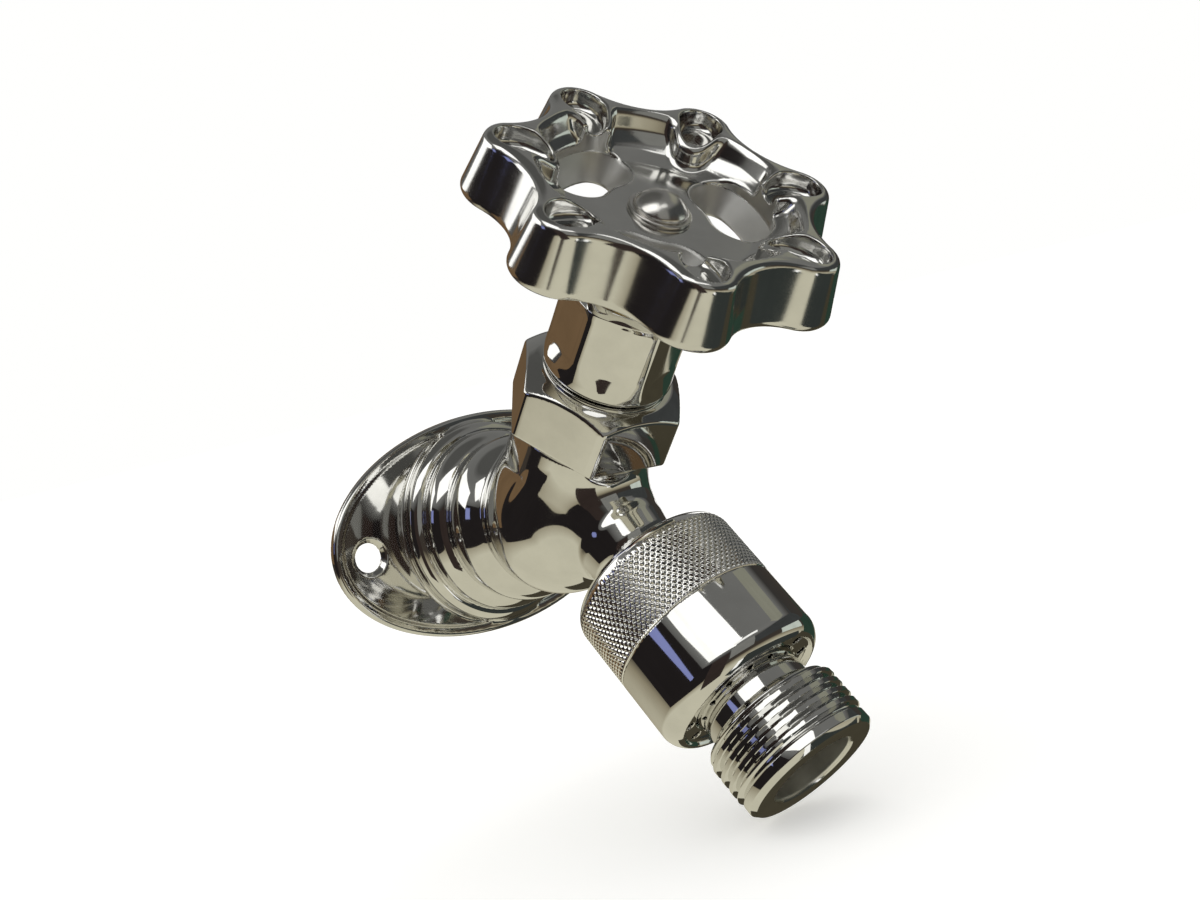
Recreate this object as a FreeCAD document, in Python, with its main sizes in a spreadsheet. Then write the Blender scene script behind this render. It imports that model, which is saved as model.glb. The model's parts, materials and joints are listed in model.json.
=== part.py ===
"""Angle sillcock with a rising stem, a seven-lobe handle and a hose vacuum breaker.

Three lines carry the pieces. The inlet line runs out of the wall along -Y from the centre of the
flange's back face. The stem line rises from it and the outlet line falls from it, both in the
plane X = 0. Each turned piece is drawn along its own Z and is placed on one of the three lines.
Lengths are millimetres.
"""
import FreeCAD, Part
import math
import os
import Sketcher

os.makedirs("parts", exist_ok=True)
doc = FreeCAD.newDocument("angle_sillcock")

DIMENSIONS = [
    ("cross_out", 31.8, "wall to the point where stem line and outlet line cross"),
    ("cross_up", 7.0, "that point above the inlet line"),
    ("stem_tilt", 45.0, "stem line above the horizontal, degrees"),
    ("outlet_tilt", 50.0, "outlet line below the horizontal, degrees"),
    ("stem_root", 20.0, "start of the stem line below the crossing point"),
    # wall flange
    ("flange_half_length", 37.2, "oval flange, half of its length along X"),
    ("flange_half_height", 22.3, "oval flange, half of its height"),
    ("flange_thickness", 2.2, "flange with its raised rim"),
    ("rim_width", 2.0, "raised rim of the flange"),
    ("rim_edge", 0.8, "round of the flange's outer edges"),
    ("rim_step", 0.8, "rim above the flange face"),
    ("relief_depth", 0.4, "hollow in the flange's back"),
    ("relief_margin", 4.2, "flat rim left round that hollow"),
    ("hub_radius", 14.6, "back face of the inlet hub"),
    ("wall_hole_offset", 29.1, "wall screw hole from the inlet line"),
    ("wall_hole_radius", 2.9, "wall screw hole"),
    ("wall_hole_boss", 5.4, "boss round the wall screw hole, at the back"),
    ("wall_hole_flare", 0.9, "bevel at the mouth of the wall screw hole"),
    # beaded neck and ball
    ("neck_foot_radius", 20.3, "first bead where it leaves the flange"),
    ("neck_foot", 1.4, "height of the first bead's foot"),
    ("bead_one_radius", 18.2, "groove after the first bead"),
    ("bead_one_end", 5.0, "its distance from the wall"),
    ("bead_one_round", 2.5, "roundness of the first bead"),
    ("bead_two_radius", 15.9, "groove after the second bead"),
    ("bead_two_end", 10.3, "its distance from the wall"),
    ("bead_two_round", 4.4, "roundness of the second bead"),
    ("bead_three_radius", 14.5, "groove after the third bead"),
    ("bead_three_end", 20.0, "its distance from the wall"),
    ("bead_three_round", 9.0, "roundness of the third bead"),
    ("ball_radius", 15.8, "ball of the body"),
    ("ball_centre", 27.0, "ball centre from the wall"),
    # waterways
    ("pipe_thread_radius", 9.15, "tapped inlet for half inch pipe"),
    ("pipe_thread_length", 14.5, "depth of the tapped inlet"),
    ("inlet_way_radius", 6.0, "waterway behind the tapped inlet"),
    ("inlet_way_end", 21.5, "its end from the wall"),
    ("seat_way_radius", 4.4, "waterway below the seat"),
    ("seat_way_start", 3.0, "its start on the stem line"),
    ("seat_hole_radius", 6.4, "hole for the seat ring's thread"),
    ("seat_hole_start", 9.5, "start of that hole on the stem line"),
    ("chamber_radius", 8.0, "valve chamber"),
    ("chamber_floor", 14.6, "floor of the chamber on the stem line"),
    ("branch_bore_radius", 10.0, "tapped bore for the bonnet"),
    ("branch_bore_start", 24.6, "start of that bore on the stem line"),
    ("branch_radius", 13.2, "stem branch of the body"),
    ("branch_foot", 14.0, "start of the stem branch inside the ball"),
    ("branch_top", 32.0, "top face of the stem branch"),
    ("branch_edge", 0.8, "chamfer of the branch's top edge"),
    ("outlet_way_radius", 5.2, "waterway through the horn"),
    ("outlet_way_start", 4.0, "its start on the outlet line"),
    # outlet horn
    ("horn_root_radius", 12.9, "horn inside the ball"),
    ("horn_root", 4.6, "that place on the outlet line"),
    ("horn_waist_radius", 7.7, "thinnest place of the horn"),
    ("horn_waist", 21.0, "that place on the outlet line"),
    ("horn_shoulder", 25.3, "back of the hose thread on the horn"),
    ("horn_end", 33.5, "end face of the horn"),
    ("hose_thread_radius", 13.4, "three quarter inch male hose thread, crest"),
    ("hose_thread_depth", 0.95, "depth of that thread"),
    ("hose_thread_pitch", 2.21, "pitch of that thread"),
    # seat and washer
    ("seat_lip_level", 16.0, "top of the seat lip on the stem line"),
    ("seat_flange_radius", 7.6, "flange of the seat ring"),
    ("seat_flange_top", 15.5, "top of that flange on the stem line"),
    ("seat_lip_width", 1.1, "raised lip round the seat bore"),
    ("washer_radius", 6.2, "rubber seat washer"),
    ("washer_thickness", 3.0, "rubber seat washer"),
    ("washer_grip", 2.0, "depth of the holder's cup round the washer"),
    ("holder_radius", 7.2, "washer holder"),
    ("holder_web", 1.8, "web of the holder above the washer"),
    ("holder_boss_radius", 4.3, "boss that takes the stem's swivel pin"),
    ("holder_boss_height", 5.0, "height of that boss"),
    ("washer_screw_radius", 1.5, "screw of the rubber washer"),
    ("washer_screw_head_radius", 2.8, "its head"),
    ("washer_screw_head_height", 1.5, "its head, half sunk in the rubber"),
    # stem
    ("pin_radius", 2.5, "swivel pin of the stem"),
    ("collar_gap", 0.3, "stem shoulder above the holder"),
    ("stem_shoulder_radius", 4.9, "stem between swivel pin and lift thread"),
    ("lift_thread_radius", 6.0, "lift thread of the stem"),
    ("lift_thread_start", 28.6, "its lower end on the stem line"),
    ("lift_thread_length", 9.4, "length of the lift thread"),
    ("stem_radius", 4.76, "stem through the packing"),
    ("hub_drop", 4.5, "shoulder under the handle's hub, below the handle's foot"),
    ("drive_side", 6.35, "square drive of the stem"),
    ("drive_height", 9.1, "height of the square drive"),
    ("running_gap", 0.05, "radial clearance of turning and sliding fits"),
    ("seated_gap", 0.1, "radial clearance of pieces that stay put"),
    ("lift_travel", 6.35, "rise of the stem from shut to open"),
    # bonnet
    ("bonnet_foot", 25.6, "lower end of the bonnet on the stem line"),
    ("gasket_thickness", 1.0, "flat ring under the bonnet"),
    ("hex_flats", 29.0, "bonnet hexagon across flats"),
    ("hex_turn", -7.2, "first corner from the X direction, degrees"),
    ("hex_height", 9.6, "height of its flats at the corners"),
    ("hex_corner", 16.7, "rounded corners of the hexagon from the stem line"),
    ("dome_height", 3.1, "height of the dome above the flats"),
    ("dome_round", 14.0, "roundness of the dome"),
    ("lift_relief_radius", 6.7, "room above the lift thread in the bonnet"),
    ("lift_bore_foot", 28.3, "start of the lift thread bore"),
    ("lift_bore_top", 38.0, "top of the lift thread bore"),
    ("lift_relief_top", 45.0, "top of the room for the rising thread"),
    ("packing_floor", 47.6, "floor of the packing box"),
    ("packing_radius", 7.4, "packing box"),
    ("nut_thread_radius", 9.8, "bonnet thread for the packing nut"),
    ("nut_thread_top", 58.0, "top face of the bonnet"),
    # packing
    ("packing_height", 2.2, "one packing ring"),
    ("packing_count", 3, "number of packing rings"),
    ("gland_flange_radius", 9.2, "flange of the packing gland"),
    ("gland_flange_height", 1.6, "height of that flange"),
    ("gland_rise", 0.4, "gland flange above the bonnet's top face"),
    ("glide_ring_height", 0.6, "thin ring between gland and nut"),
    ("packing_nut_radius", 12.1, "packing nut, outside"),
    ("packing_nut_foot", 45.9, "lower end of the packing nut"),
    ("packing_nut_top", 64.0, "top of the packing nut"),
    ("packing_nut_bevel", 1.4, "bevel at the nut's top edge"),
    ("packing_nut_round", 1.8, "round at the nut's bottom edge"),
    # handle
    ("lobe_count", 7, "number of lobes"),
    ("lobe_turn", 87.4, "first lobe from the X direction, degrees"),
    ("handle_lift", 10.0, "bottom of the handle's outer wall above the packing nut"),
    ("handle_height", 12.0, "height of the handle's outer wall"),
    ("lobe_tip_radius", 31.4, "lobe tips at the rim"),
    ("lobe_valley_radius", 25.2, "valleys at the rim"),
    ("lobe_round", 5.4, "roundness of a lobe tip at the rim"),
    ("wall_flare", 2.4, "outward slant of the outer wall"),
    ("rim_round", 1.2, "round of the rim's outer edge"),
    ("dish_radius", 21.6, "dished centre of the handle at the rim"),
    ("dish_slant", 0.5, "inward slant of the dish wall"),
    ("dish_flat", 17.5, "flat middle of the dish"),
    ("hub_rise", 5.0, "that flat above the handle's foot"),
    ("dish_rise", 1.4, "rise of the floor from the flat to the dish wall"),
    ("buttress_round", 4.0, "round buttress inside each lobe"),
    ("buttress_centre", 22.4, "its centre from the stem line"),
    ("handle_hub_radius", 7.2, "hub of the handle"),
    ("handle_hollow", 0.8, "hollow of the handle's underside"),
    ("leaf_inner", 23.0, "inner round of a leaf pocket from the stem line"),
    ("leaf_inner_round", 3.3, "inner round of a leaf pocket"),
    ("leaf_outer", 26.4, "outer round of a leaf pocket from the stem line"),
    ("leaf_outer_round", 3.6, "outer round of a leaf pocket"),
    ("leaf_depth", 3.8, "depth of a leaf pocket"),
    ("window_count", 3, "number of windows in the web"),
    ("window_turn", 108.0, "first window from the X direction, degrees"),
    ("window_inner", 9.4, "inner edge of a window from the stem line"),
    ("window_outer", 20.4, "outer edge of a window from the stem line"),
    ("window_spread", 70.0, "arc of a window, degrees"),
    ("head_washer_radius", 5.6, "washer under the handle screw"),
    ("head_washer_height", 0.8, "that washer"),
    ("screw_radius", 2.1, "shank of the handle screw"),
    ("screw_length", 12.0, "shank below the head"),
    ("screw_head_radius", 4.9, "domed head of the handle screw"),
    ("screw_head_height", 3.1, "that head"),
    ("screw_head_round", 6.0, "roundness of the dome"),
    ("screw_head_flat", 0.6, "flat at the top of the dome"),
    # vacuum breaker
    ("breaker_wall", 3.2, "outside of the vacuum breaker round the hose thread"),
    ("collar_top", 24.9, "top edge of the knurled collar on the outlet line"),
    ("collar_round", 4.2, "round of its top edge"),
    ("collar_edge", 0.5, "inner end of that round, round the hose thread"),
    ("collar_edge_height", 3.4, "height of that round"),
    ("collar_foot", 40.5, "line between collar and shell"),
    ("collar_lip_radius", 9.0, "hole of the collar's inner lip"),
    ("collar_lip", 1.2, "thickness of that lip"),
    ("hose_gasket_thickness", 2.2, "rubber washer at the horn's end"),
    ("spigot_wall", 1.6, "spigot of the shell inside the collar, round the hose thread"),
    ("bore_wall", 0.5, "bore of the shell, round the hose thread"),
    ("shell_bottom", 55.6, "lowest place of the shell"),
    ("shell_round", 4.2, "round of its bottom edge"),
    ("shell_edge", 0.8, "lowest ring of the shell, round the hose thread"),
    ("shell_edge_height", 3.4, "height of the bottom round"),
    ("shell_floor", 52.4, "inner floor of the shell"),
    ("shell_dish", 1.1, "hollow of the vented bottom face"),
    ("shell_mouth", 0.6, "bevel round the nipple's neck"),
    ("vent_count", 12, "number of vent holes"),
    ("vent_inset", 1.2, "circle of the vent holes, inside the shell's bore"),
    ("vent_radius", 1.1, "one vent hole"),
    ("vent_turn", 24.0, "first vent hole from the X direction, degrees"),
    ("check_seat_height", 2.4, "fixed seat ring of the check"),
    ("check_seat_bore", 6.5, "its waterway"),
    ("diaphragm_thickness", 1.2, "flexible ring over the air way"),
    ("diaphragm_bore", 5.6, "its hole"),
    ("check_disc_radius", 8.4, "rubber disc of the check"),
    ("check_disc_thickness", 1.6, "that disc"),
    ("plunger_radius", 8.6, "plunger plate"),
    ("plunger_plate", 1.5, "its thickness"),
    ("plunger_stem_radius", 2.0, "guide stem of the plunger"),
    ("plunger_stem_length", 8.6, "that stem below the plate"),
    ("check_travel", 2.0, "travel of the check"),
    ("cage_radius", 11.4, "sleeve of the check cage, outside"),
    ("cage_bore", 10.2, "sleeve of the check cage, inside"),
    ("cage_gap", 0.8, "air way between diaphragm and sleeve"),
    ("cage_web", 1.6, "spider at the foot of the cage"),
    ("cage_arm_width", 2.4, "one arm of the spider"),
    ("cage_arm_count", 3, "number of arms"),
    ("cage_boss_radius", 4.0, "boss that guides the plunger"),
    ("cage_flange_height", 1.2, "that flange"),
    ("spring_wire", 0.6, "wire of the check spring"),
    ("spring_radius", 6.0, "mean radius of the check spring"),
    ("spring_turns", 3, "turns of the check spring"),
    ("clip_height", 0.9, "spring clip on the nipple"),
    ("clip_radius", 11.3, "outside of the clip"),
    ("clip_groove_depth", 1.0, "depth of the clip's groove in the neck"),
    ("clip_gap_angle", 40.0, "opening of the clip, degrees"),
    # outlet nipple
    ("neck_step", 3.1, "smooth neck below the hose thread's crests"),
    ("nipple_lip", 1.0, "lip of the nipple above its clip"),
    ("nipple_thread_start", 60.5, "start of the outlet hose thread"),
    ("nipple_end", 73.0, "end face of the nipple"),
    ("nipple_end_bevel", 0.9, "bevel at its outer edge"),
    ("nipple_ring_start", 70.0, "plain ring after the thread"),
    ("nipple_ring_step", 0.3, "that ring below the thread's crests"),
    ("neck_wall", 2.3, "wall of that neck round the water way"),
    ("nipple_mouth_bevel", 0.6, "bevel at the mouth of the bore"),
    ("seal_section", 1.1, "round section of the nipple's seal ring"),
]


class Size:
    """A length that knows its value and its spreadsheet expression."""

    def __init__(self, text, value):
        self.text = text
        self.value = value

    def __add__(self, other):
        other = as_size(other)
        return Size(f"({self.text} + {other.text})", self.value + other.value)

    def __radd__(self, other):
        return as_size(other) + self

    def __sub__(self, other):
        other = as_size(other)
        return Size(f"({self.text} - {other.text})", self.value - other.value)

    def __rsub__(self, other):
        return as_size(other) - self

    def __mul__(self, other):
        other = as_size(other)
        return Size(f"({self.text} * {other.text})", self.value * other.value)

    def __rmul__(self, other):
        return as_size(other) * self

    def __truediv__(self, other):
        other = as_size(other)
        return Size(f"({self.text} / {other.text})", self.value / other.value)


def as_size(number):
    if isinstance(number, Size):
        return number
    return Size(repr(float(number)), float(number))


class Sizes:
    """The driving dimensions by name."""


sheet = doc.addObject("Spreadsheet::Sheet", "Sizes")
D = Sizes()
for row, (alias, value, note) in enumerate(DIMENSIONS, start=1):
    sheet.set(f"A{row}", note)
    sheet.set(f"B{row}", str(value))
    sheet.setAlias(f"B{row}", alias)
    setattr(D, alias, Size(f"Sizes.{alias}", float(value)))
doc.recompute()

HANDLE_FOOT = D.packing_nut_top + D.handle_lift
HANDLE_RIM = HANDLE_FOOT + D.handle_height
HUB_TOP = HANDLE_FOOT + D.hub_rise
DRIVE_FOOT = HANDLE_FOOT - D.hub_drop
BREAKER_RADIUS = D.hose_thread_radius + D.breaker_wall
SPIGOT_RADIUS = D.hose_thread_radius + D.spigot_wall
SHELL_BORE = D.hose_thread_radius + D.bore_wall
COLLAR_EDGE = D.hose_thread_radius + D.collar_edge
SHELL_EDGE = D.hose_thread_radius + D.shell_edge
CAGE_FLANGE = SHELL_BORE - D.seated_gap
VENT_RING = SHELL_BORE - D.vent_inset
NIPPLE_RING = D.hose_thread_radius - D.nipple_ring_step
NIPPLE_NECK = D.hose_thread_radius - D.neck_step
NIPPLE_BORE = NIPPLE_NECK - D.neck_wall
CLIP_GROOVE = NIPPLE_NECK - D.clip_groove_depth


# The three lines that carry the pieces

INLET, STEM, OUTLET = "inlet", "stem", "outlet"
COS_STEM = "cos(Sizes.stem_tilt * 1 deg)"
SIN_STEM = "sin(Sizes.stem_tilt * 1 deg)"


def put_on_line(obj, line):
    """Bind the object's Placement to the line, its own Z running outward along the line."""
    obj.Placement = FreeCAD.Placement(FreeCAD.Vector(), FreeCAD.Rotation(FreeCAD.Vector(1, 0, 0), 90))
    if line == INLET:
        return
    if line == STEM:
        obj.setExpression("Placement.Rotation.Angle", "90 deg - Sizes.stem_tilt * 1 deg")
        obj.setExpression("Placement.Base.y", f"-Sizes.cross_out + Sizes.stem_root * {COS_STEM}")
        obj.setExpression("Placement.Base.z", f"Sizes.cross_up - Sizes.stem_root * {SIN_STEM}")
        return
    obj.setExpression("Placement.Rotation.Angle", "90 deg + Sizes.outlet_tilt * 1 deg")
    obj.setExpression("Placement.Base.y", "-Sizes.cross_out")
    obj.setExpression("Placement.Base.z", "Sizes.cross_up")


# Sketches whose corners are bound to the spreadsheet

def origin_plane(body, role):
    return next(item for item in body.Origin.OriginFeatures if item.Role == role)


def new_sketch(body, name, role):
    sketch = body.newObject("Sketcher::SketchObject", name)
    sketch.AttachmentSupport = (origin_plane(body, role), [""])
    sketch.MapMode = "FlatFace"
    return sketch


def bind_corner(sketch, geometry, end, x, y):
    """Fix one end point at (x, y), both bound to the spreadsheet."""
    for kind, axis, size in (("DistanceX", -2, x), ("DistanceY", -1, y)):
        if size.value == 0:
            sketch.addConstraint(Sketcher.Constraint("PointOnObject", geometry, end, axis))
            continue
        place = sketch.addConstraint(Sketcher.Constraint(kind, -1, 1, geometry, end, size.value))
        sketch.setExpression(f"Constraints[{place}]", size.text)


def arc_between(start, end, bend):
    """Arc of less than half a turn; a positive bend has its centre on the left of the way."""
    middle = (start + end) * 0.5
    chord = end - start
    left = FreeCAD.Vector(-chord.y, chord.x, 0)
    left.normalize()
    reach = math.sqrt(bend * bend - chord.Length ** 2 / 4)
    centre = middle + left * math.copysign(reach, bend)
    circle = Part.Circle(centre, FreeCAD.Vector(0, 0, 1), abs(bend))
    first, last = (start, end) if bend > 0 else (end, start)
    angles = [math.atan2(p.y - centre.y, p.x - centre.x) for p in (first, last)]
    if angles[1] < angles[0]:
        angles[1] += 2 * math.pi
    return Part.ArcOfCircle(circle, angles[0], angles[1])


def draw_outline(sketch, corners):
    """Closed outline through (x, y) or (x, y, bend); bend is the arc radius to the next corner."""
    corners = [tuple(as_size(item) for item in corner) for corner in corners]
    points = [FreeCAD.Vector(corner[0].value, corner[1].value, 0) for corner in corners]
    starts = []
    for index, corner in enumerate(corners):
        after = points[(index + 1) % len(points)]
        if len(corner) == 2:
            geometry = sketch.addGeometry(Part.LineSegment(points[index], after), False)
            starts.append((geometry, 1, 2))
            continue
        bend = corner[2]
        geometry = sketch.addGeometry(arc_between(points[index], after, bend.value), False)
        starts.append((geometry, 1, 2) if bend.value > 0 else (geometry, 2, 1))
    for index, (geometry, _, finish) in enumerate(starts):
        following = starts[(index + 1) % len(starts)]
        joint = Sketcher.Constraint("Coincident", geometry, finish, following[0], following[1])
        sketch.addConstraint(joint)
    for (geometry, begin, _), corner in zip(starts, corners):
        bind_corner(sketch, geometry, begin, corner[0], corner[1])
        if len(corner) == 3:
            radius = abs(corner[2].value)
            place = sketch.addConstraint(Sketcher.Constraint("Radius", geometry, radius))
            text = corner[2].text if corner[2].value > 0 else f"-{corner[2].text}"
            sketch.setExpression(f"Constraints[{place}]", text)


def turned(name, line, corners):
    """A body turned round its own Z from an outline of (radius, height) corners."""
    body = doc.addObject("PartDesign::Body", name)
    sketch = new_sketch(body, name + "_outline", "XZ_Plane")
    draw_outline(sketch, corners)
    doc.recompute()
    turn = body.newObject("PartDesign::Revolution", name + "_turn")
    turn.Profile = sketch
    turn.ReferenceAxis = (sketch, ["V_Axis"])
    turn.Angle = 360
    body.Tip = turn
    put_on_line(body, line)
    doc.recompute()
    return body


def ring(name, line, inner, outer, foot, top):
    """A plain ring between two radii and two heights."""
    return turned(name, line, [(inner, foot), (outer, foot), (outer, top), (inner, top)])


def cylinder(name, line, radius, foot, height, x=None):
    """A Part cylinder on one of the lines, or beside it at x."""
    rod = doc.addObject("Part::Cylinder", name)
    rod.setExpression("Radius", as_size(radius).text)
    rod.setExpression("Height", as_size(height).text)
    shift(rod, line, foot, x)
    return rod


def shift(obj, line, foot, x=None):
    """Place a Part object on a line, its foot at the given height."""
    foot = as_size(foot)
    put_on_line(obj, line)
    if line == INLET:
        obj.setExpression("Placement.Base.y", f"-{foot.text}")
    elif line == STEM:
        obj.setExpression("Placement.Base.y",
                          f"-Sizes.cross_out + (Sizes.stem_root - {foot.text}) * {COS_STEM}")
        obj.setExpression("Placement.Base.z",
                          f"Sizes.cross_up - (Sizes.stem_root - {foot.text}) * {SIN_STEM}")
    if x is not None:
        obj.setExpression("Placement.Base.x", as_size(x).text)


def fuse(name, shapes):
    joined = doc.addObject("Part::MultiFuse", name)
    joined.Shapes = shapes
    joined.Refine = True
    return joined


def cut(name, base, tools):
    """The base less all tools."""
    tool = tools[0] if len(tools) == 1 else fuse(name + "_tools", tools)
    result = doc.addObject("Part::Cut", name)
    result.Base = base
    result.Tool = tool
    result.Refine = True
    return result


def line_placement(line):
    """The numeric placement of a line, for shapes made in code."""
    tilt = math.radians(D.stem_tilt.value)
    cross = FreeCAD.Vector(0, -D.cross_out.value, D.cross_up.value)
    if line == STEM:
        along = FreeCAD.Vector(0, -math.cos(tilt), math.sin(tilt))
        angle = 90 - D.stem_tilt.value
        return FreeCAD.Placement(cross - along * D.stem_root.value,
                                 FreeCAD.Rotation(FreeCAD.Vector(1, 0, 0), angle))
    return FreeCAD.Placement(cross, FreeCAD.Rotation(FreeCAD.Vector(1, 0, 0), 90 + D.outlet_tilt.value))


def coded(name, line, shape):
    """A feature whose shape comes from code, moved with its own place onto a line."""
    feature = doc.addObject("Part::Feature", name)
    feature.Shape = shape
    feature.Placement = line_placement(line).multiply(shape.Placement)
    return feature


def rod_shape(radius, foot, top, x=0.0, y=0.0):
    return Part.makeCylinder(radius, top - foot, FreeCAD.Vector(x, y, foot))


def polar(radius, degrees, height=0.0):
    angle = math.radians(degrees)
    return FreeCAD.Vector(radius * math.cos(angle), radius * math.sin(angle), height)


def hexagon_shape(flats, turn, foot, top):
    points = [polar(flats / math.sqrt(3), turn + 60 * corner, foot) for corner in range(7)]
    return Part.Face(Part.makePolygon(points)).extrude(FreeCAD.Vector(0, 0, top - foot))


def hose_ridges(start, finish):
    """Outline corners of hose thread ridges between two heights on the outlet line."""
    root = D.hose_thread_radius - D.hose_thread_depth
    turns = int((finish.value - start.value) / D.hose_thread_pitch.value)
    corners = []
    for turn in range(turns):
        foot = start + D.hose_thread_pitch * turn
        corners.append((root, foot + D.hose_thread_pitch * 0.12))
        corners.append((D.hose_thread_radius, foot + D.hose_thread_pitch * 0.42))
        corners.append((D.hose_thread_radius, foot + D.hose_thread_pitch * 0.58))
        corners.append((root, foot + D.hose_thread_pitch * 0.88))
    return corners


# Valve body: one casting of flange, neck, ball, stem branch and horn

def oval_plate(name, long_half, short_half, foot, height):
    """An oval plate square to the inlet line."""
    curve = doc.addObject("Part::Ellipse", name + "_curve")
    curve.setExpression("MajorRadius", as_size(long_half).text)
    curve.setExpression("MinorRadius", as_size(short_half).text)
    shift(curve, INLET, foot)
    plate = doc.addObject("Part::Extrusion", name)
    plate.Base = curve
    plate.DirMode = "Custom"
    plate.Dir = FreeCAD.Vector(0, -1, 0)
    plate.setExpression("LengthFwd", as_size(height).text)
    plate.Solid = True
    return plate


def build_flange():
    face_level = D.flange_thickness - D.rim_step
    long_inner = D.flange_half_length - D.rim_width
    short_inner = D.flange_half_height - D.rim_width
    plate = oval_plate("flange_plate", D.flange_half_length, D.flange_half_height, 0, D.flange_thickness)
    dish = oval_plate("flange_dish", long_inner, short_inner, face_level, D.rim_step + 1)
    hollow = oval_plate("flange_hollow", D.flange_half_length - D.relief_margin,
                        D.flange_half_height - D.relief_margin, -1, D.relief_depth + 1)
    hub = cylinder("flange_hub", INLET, D.hub_radius, -2, D.relief_depth + 3)
    bosses = [cylinder(f"flange_boss_{side}", INLET, D.wall_hole_boss, -2, D.relief_depth + 3, x)
              for side, x in (("left", D.wall_hole_offset * -1), ("right", D.wall_hole_offset))]
    relief = cut("flange_relief", hollow, [hub] + bosses)
    rounded = doc.addObject("Part::Fillet", "flange_edges")
    rounded.Base = plate
    doc.recompute()
    rims = [index for index, edge in enumerate(plate.Shape.Edges, start=1)
            if edge.BoundBox.YLength < 0.01 and edge.BoundBox.XLength > 2 * D.wall_hole_offset.value]
    rounded.Edges = [(index, D.rim_edge.value, D.rim_edge.value) for index in rims]
    return cut("flange_form", rounded, [dish, relief])


def neck_and_ball():
    ball_top = D.ball_centre + D.ball_radius
    return turned("neck_form", INLET, [
        (0, 0),
        (D.hub_radius, 0),
        (D.hub_radius, D.relief_depth),
        (D.neck_foot_radius, D.relief_depth),
        (D.neck_foot_radius, D.neck_foot, D.bead_one_round),
        (D.bead_one_radius, D.bead_one_end, D.bead_two_round),
        (D.bead_two_radius, D.bead_two_end, D.bead_three_round),
        (D.bead_three_radius, D.bead_three_end, D.ball_radius),
        (0, ball_top),
    ])


def stem_branch():
    return turned("branch_form", STEM, [
        (0, D.branch_foot),
        (D.branch_radius, D.branch_foot),
        (D.branch_radius, D.branch_top - D.branch_edge),
        (D.branch_radius - D.branch_edge, D.branch_top),
        (0, D.branch_top),
    ])


def outlet_horn():
    root = D.hose_thread_radius - D.hose_thread_depth
    ridges = hose_ridges(D.horn_shoulder, D.horn_end)
    return turned("horn_form", OUTLET, [
        (0, D.horn_root),
        (D.horn_root_radius, D.horn_root),
        (D.horn_waist_radius, D.horn_waist),
        (D.horn_waist_radius, D.horn_shoulder),
        (root, D.horn_shoulder),
    ] + ridges + [(root, D.horn_end), (0, D.horn_end)])


def wall_hole(side, x):
    """Screw hole with a bevelled mouth, as a tool."""
    mouth = D.flange_thickness - D.rim_step
    flare = D.wall_hole_flare
    hole = turned(f"wall_hole_{side}", INLET, [
        (0, 0 - D.seated_gap),
        (D.wall_hole_radius, 0 - D.seated_gap),
        (D.wall_hole_radius, mouth - flare),
        (D.wall_hole_radius + flare * 2, mouth + flare),
        (0, mouth + flare),
    ])
    hole.setExpression("Placement.Base.x", x.text)
    return hole


def waterways():
    inlet = turned("inlet_way", INLET, [
        (0, 0),
        (D.pipe_thread_radius, 0),
        (D.pipe_thread_radius, D.pipe_thread_length),
        (D.inlet_way_radius, D.pipe_thread_length),
        (D.inlet_way_radius, D.inlet_way_end),
        (0, D.inlet_way_end),
    ])
    riser = turned("stem_way", STEM, [
        (0, D.seat_way_start),
        (D.seat_way_radius, D.seat_way_start),
        (D.seat_way_radius, D.seat_hole_start),
        (D.seat_hole_radius, D.seat_hole_start),
        (D.seat_hole_radius, D.chamber_floor),
        (D.chamber_radius, D.chamber_floor),
        (D.chamber_radius, D.branch_bore_start),
        (D.branch_bore_radius, D.branch_bore_start),
        (D.branch_bore_radius, D.branch_top + 1),
        (0, D.branch_top + 1),
    ])
    outlet = cylinder("outlet_way", OUTLET, D.outlet_way_radius, 0, D.horn_end + 1)
    return [inlet, riser, outlet]


def build_valve_body():
    left = wall_hole("left", D.wall_hole_offset * -1)
    right = wall_hole("right", D.wall_hole_offset)
    casting = fuse("casting_form", [build_flange(), neck_and_ball(), stem_branch(), outlet_horn()])
    return cut("valve_body", casting, waterways() + [left, right])


# Seat, washer and stem

def build_seat():
    bore = D.seat_way_radius
    lip = bore + D.seat_lip_width
    return turned("renewable_seat", STEM, [
        (bore, D.seat_hole_start + D.seated_gap),
        (D.seat_hole_radius - D.running_gap, D.seat_hole_start + D.seated_gap),
        (D.seat_hole_radius - D.running_gap, D.chamber_floor),
        (D.seat_flange_radius, D.chamber_floor),
        (D.seat_flange_radius, D.seat_flange_top),
        (lip + (D.seat_lip_level - D.seat_flange_top), D.seat_flange_top),
        (lip, D.seat_lip_level),
        (bore, D.seat_lip_level),
    ])


def washer_levels():
    top = D.seat_lip_level + D.washer_thickness
    web = top + D.holder_web
    return top, web, web + D.holder_boss_height


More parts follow.
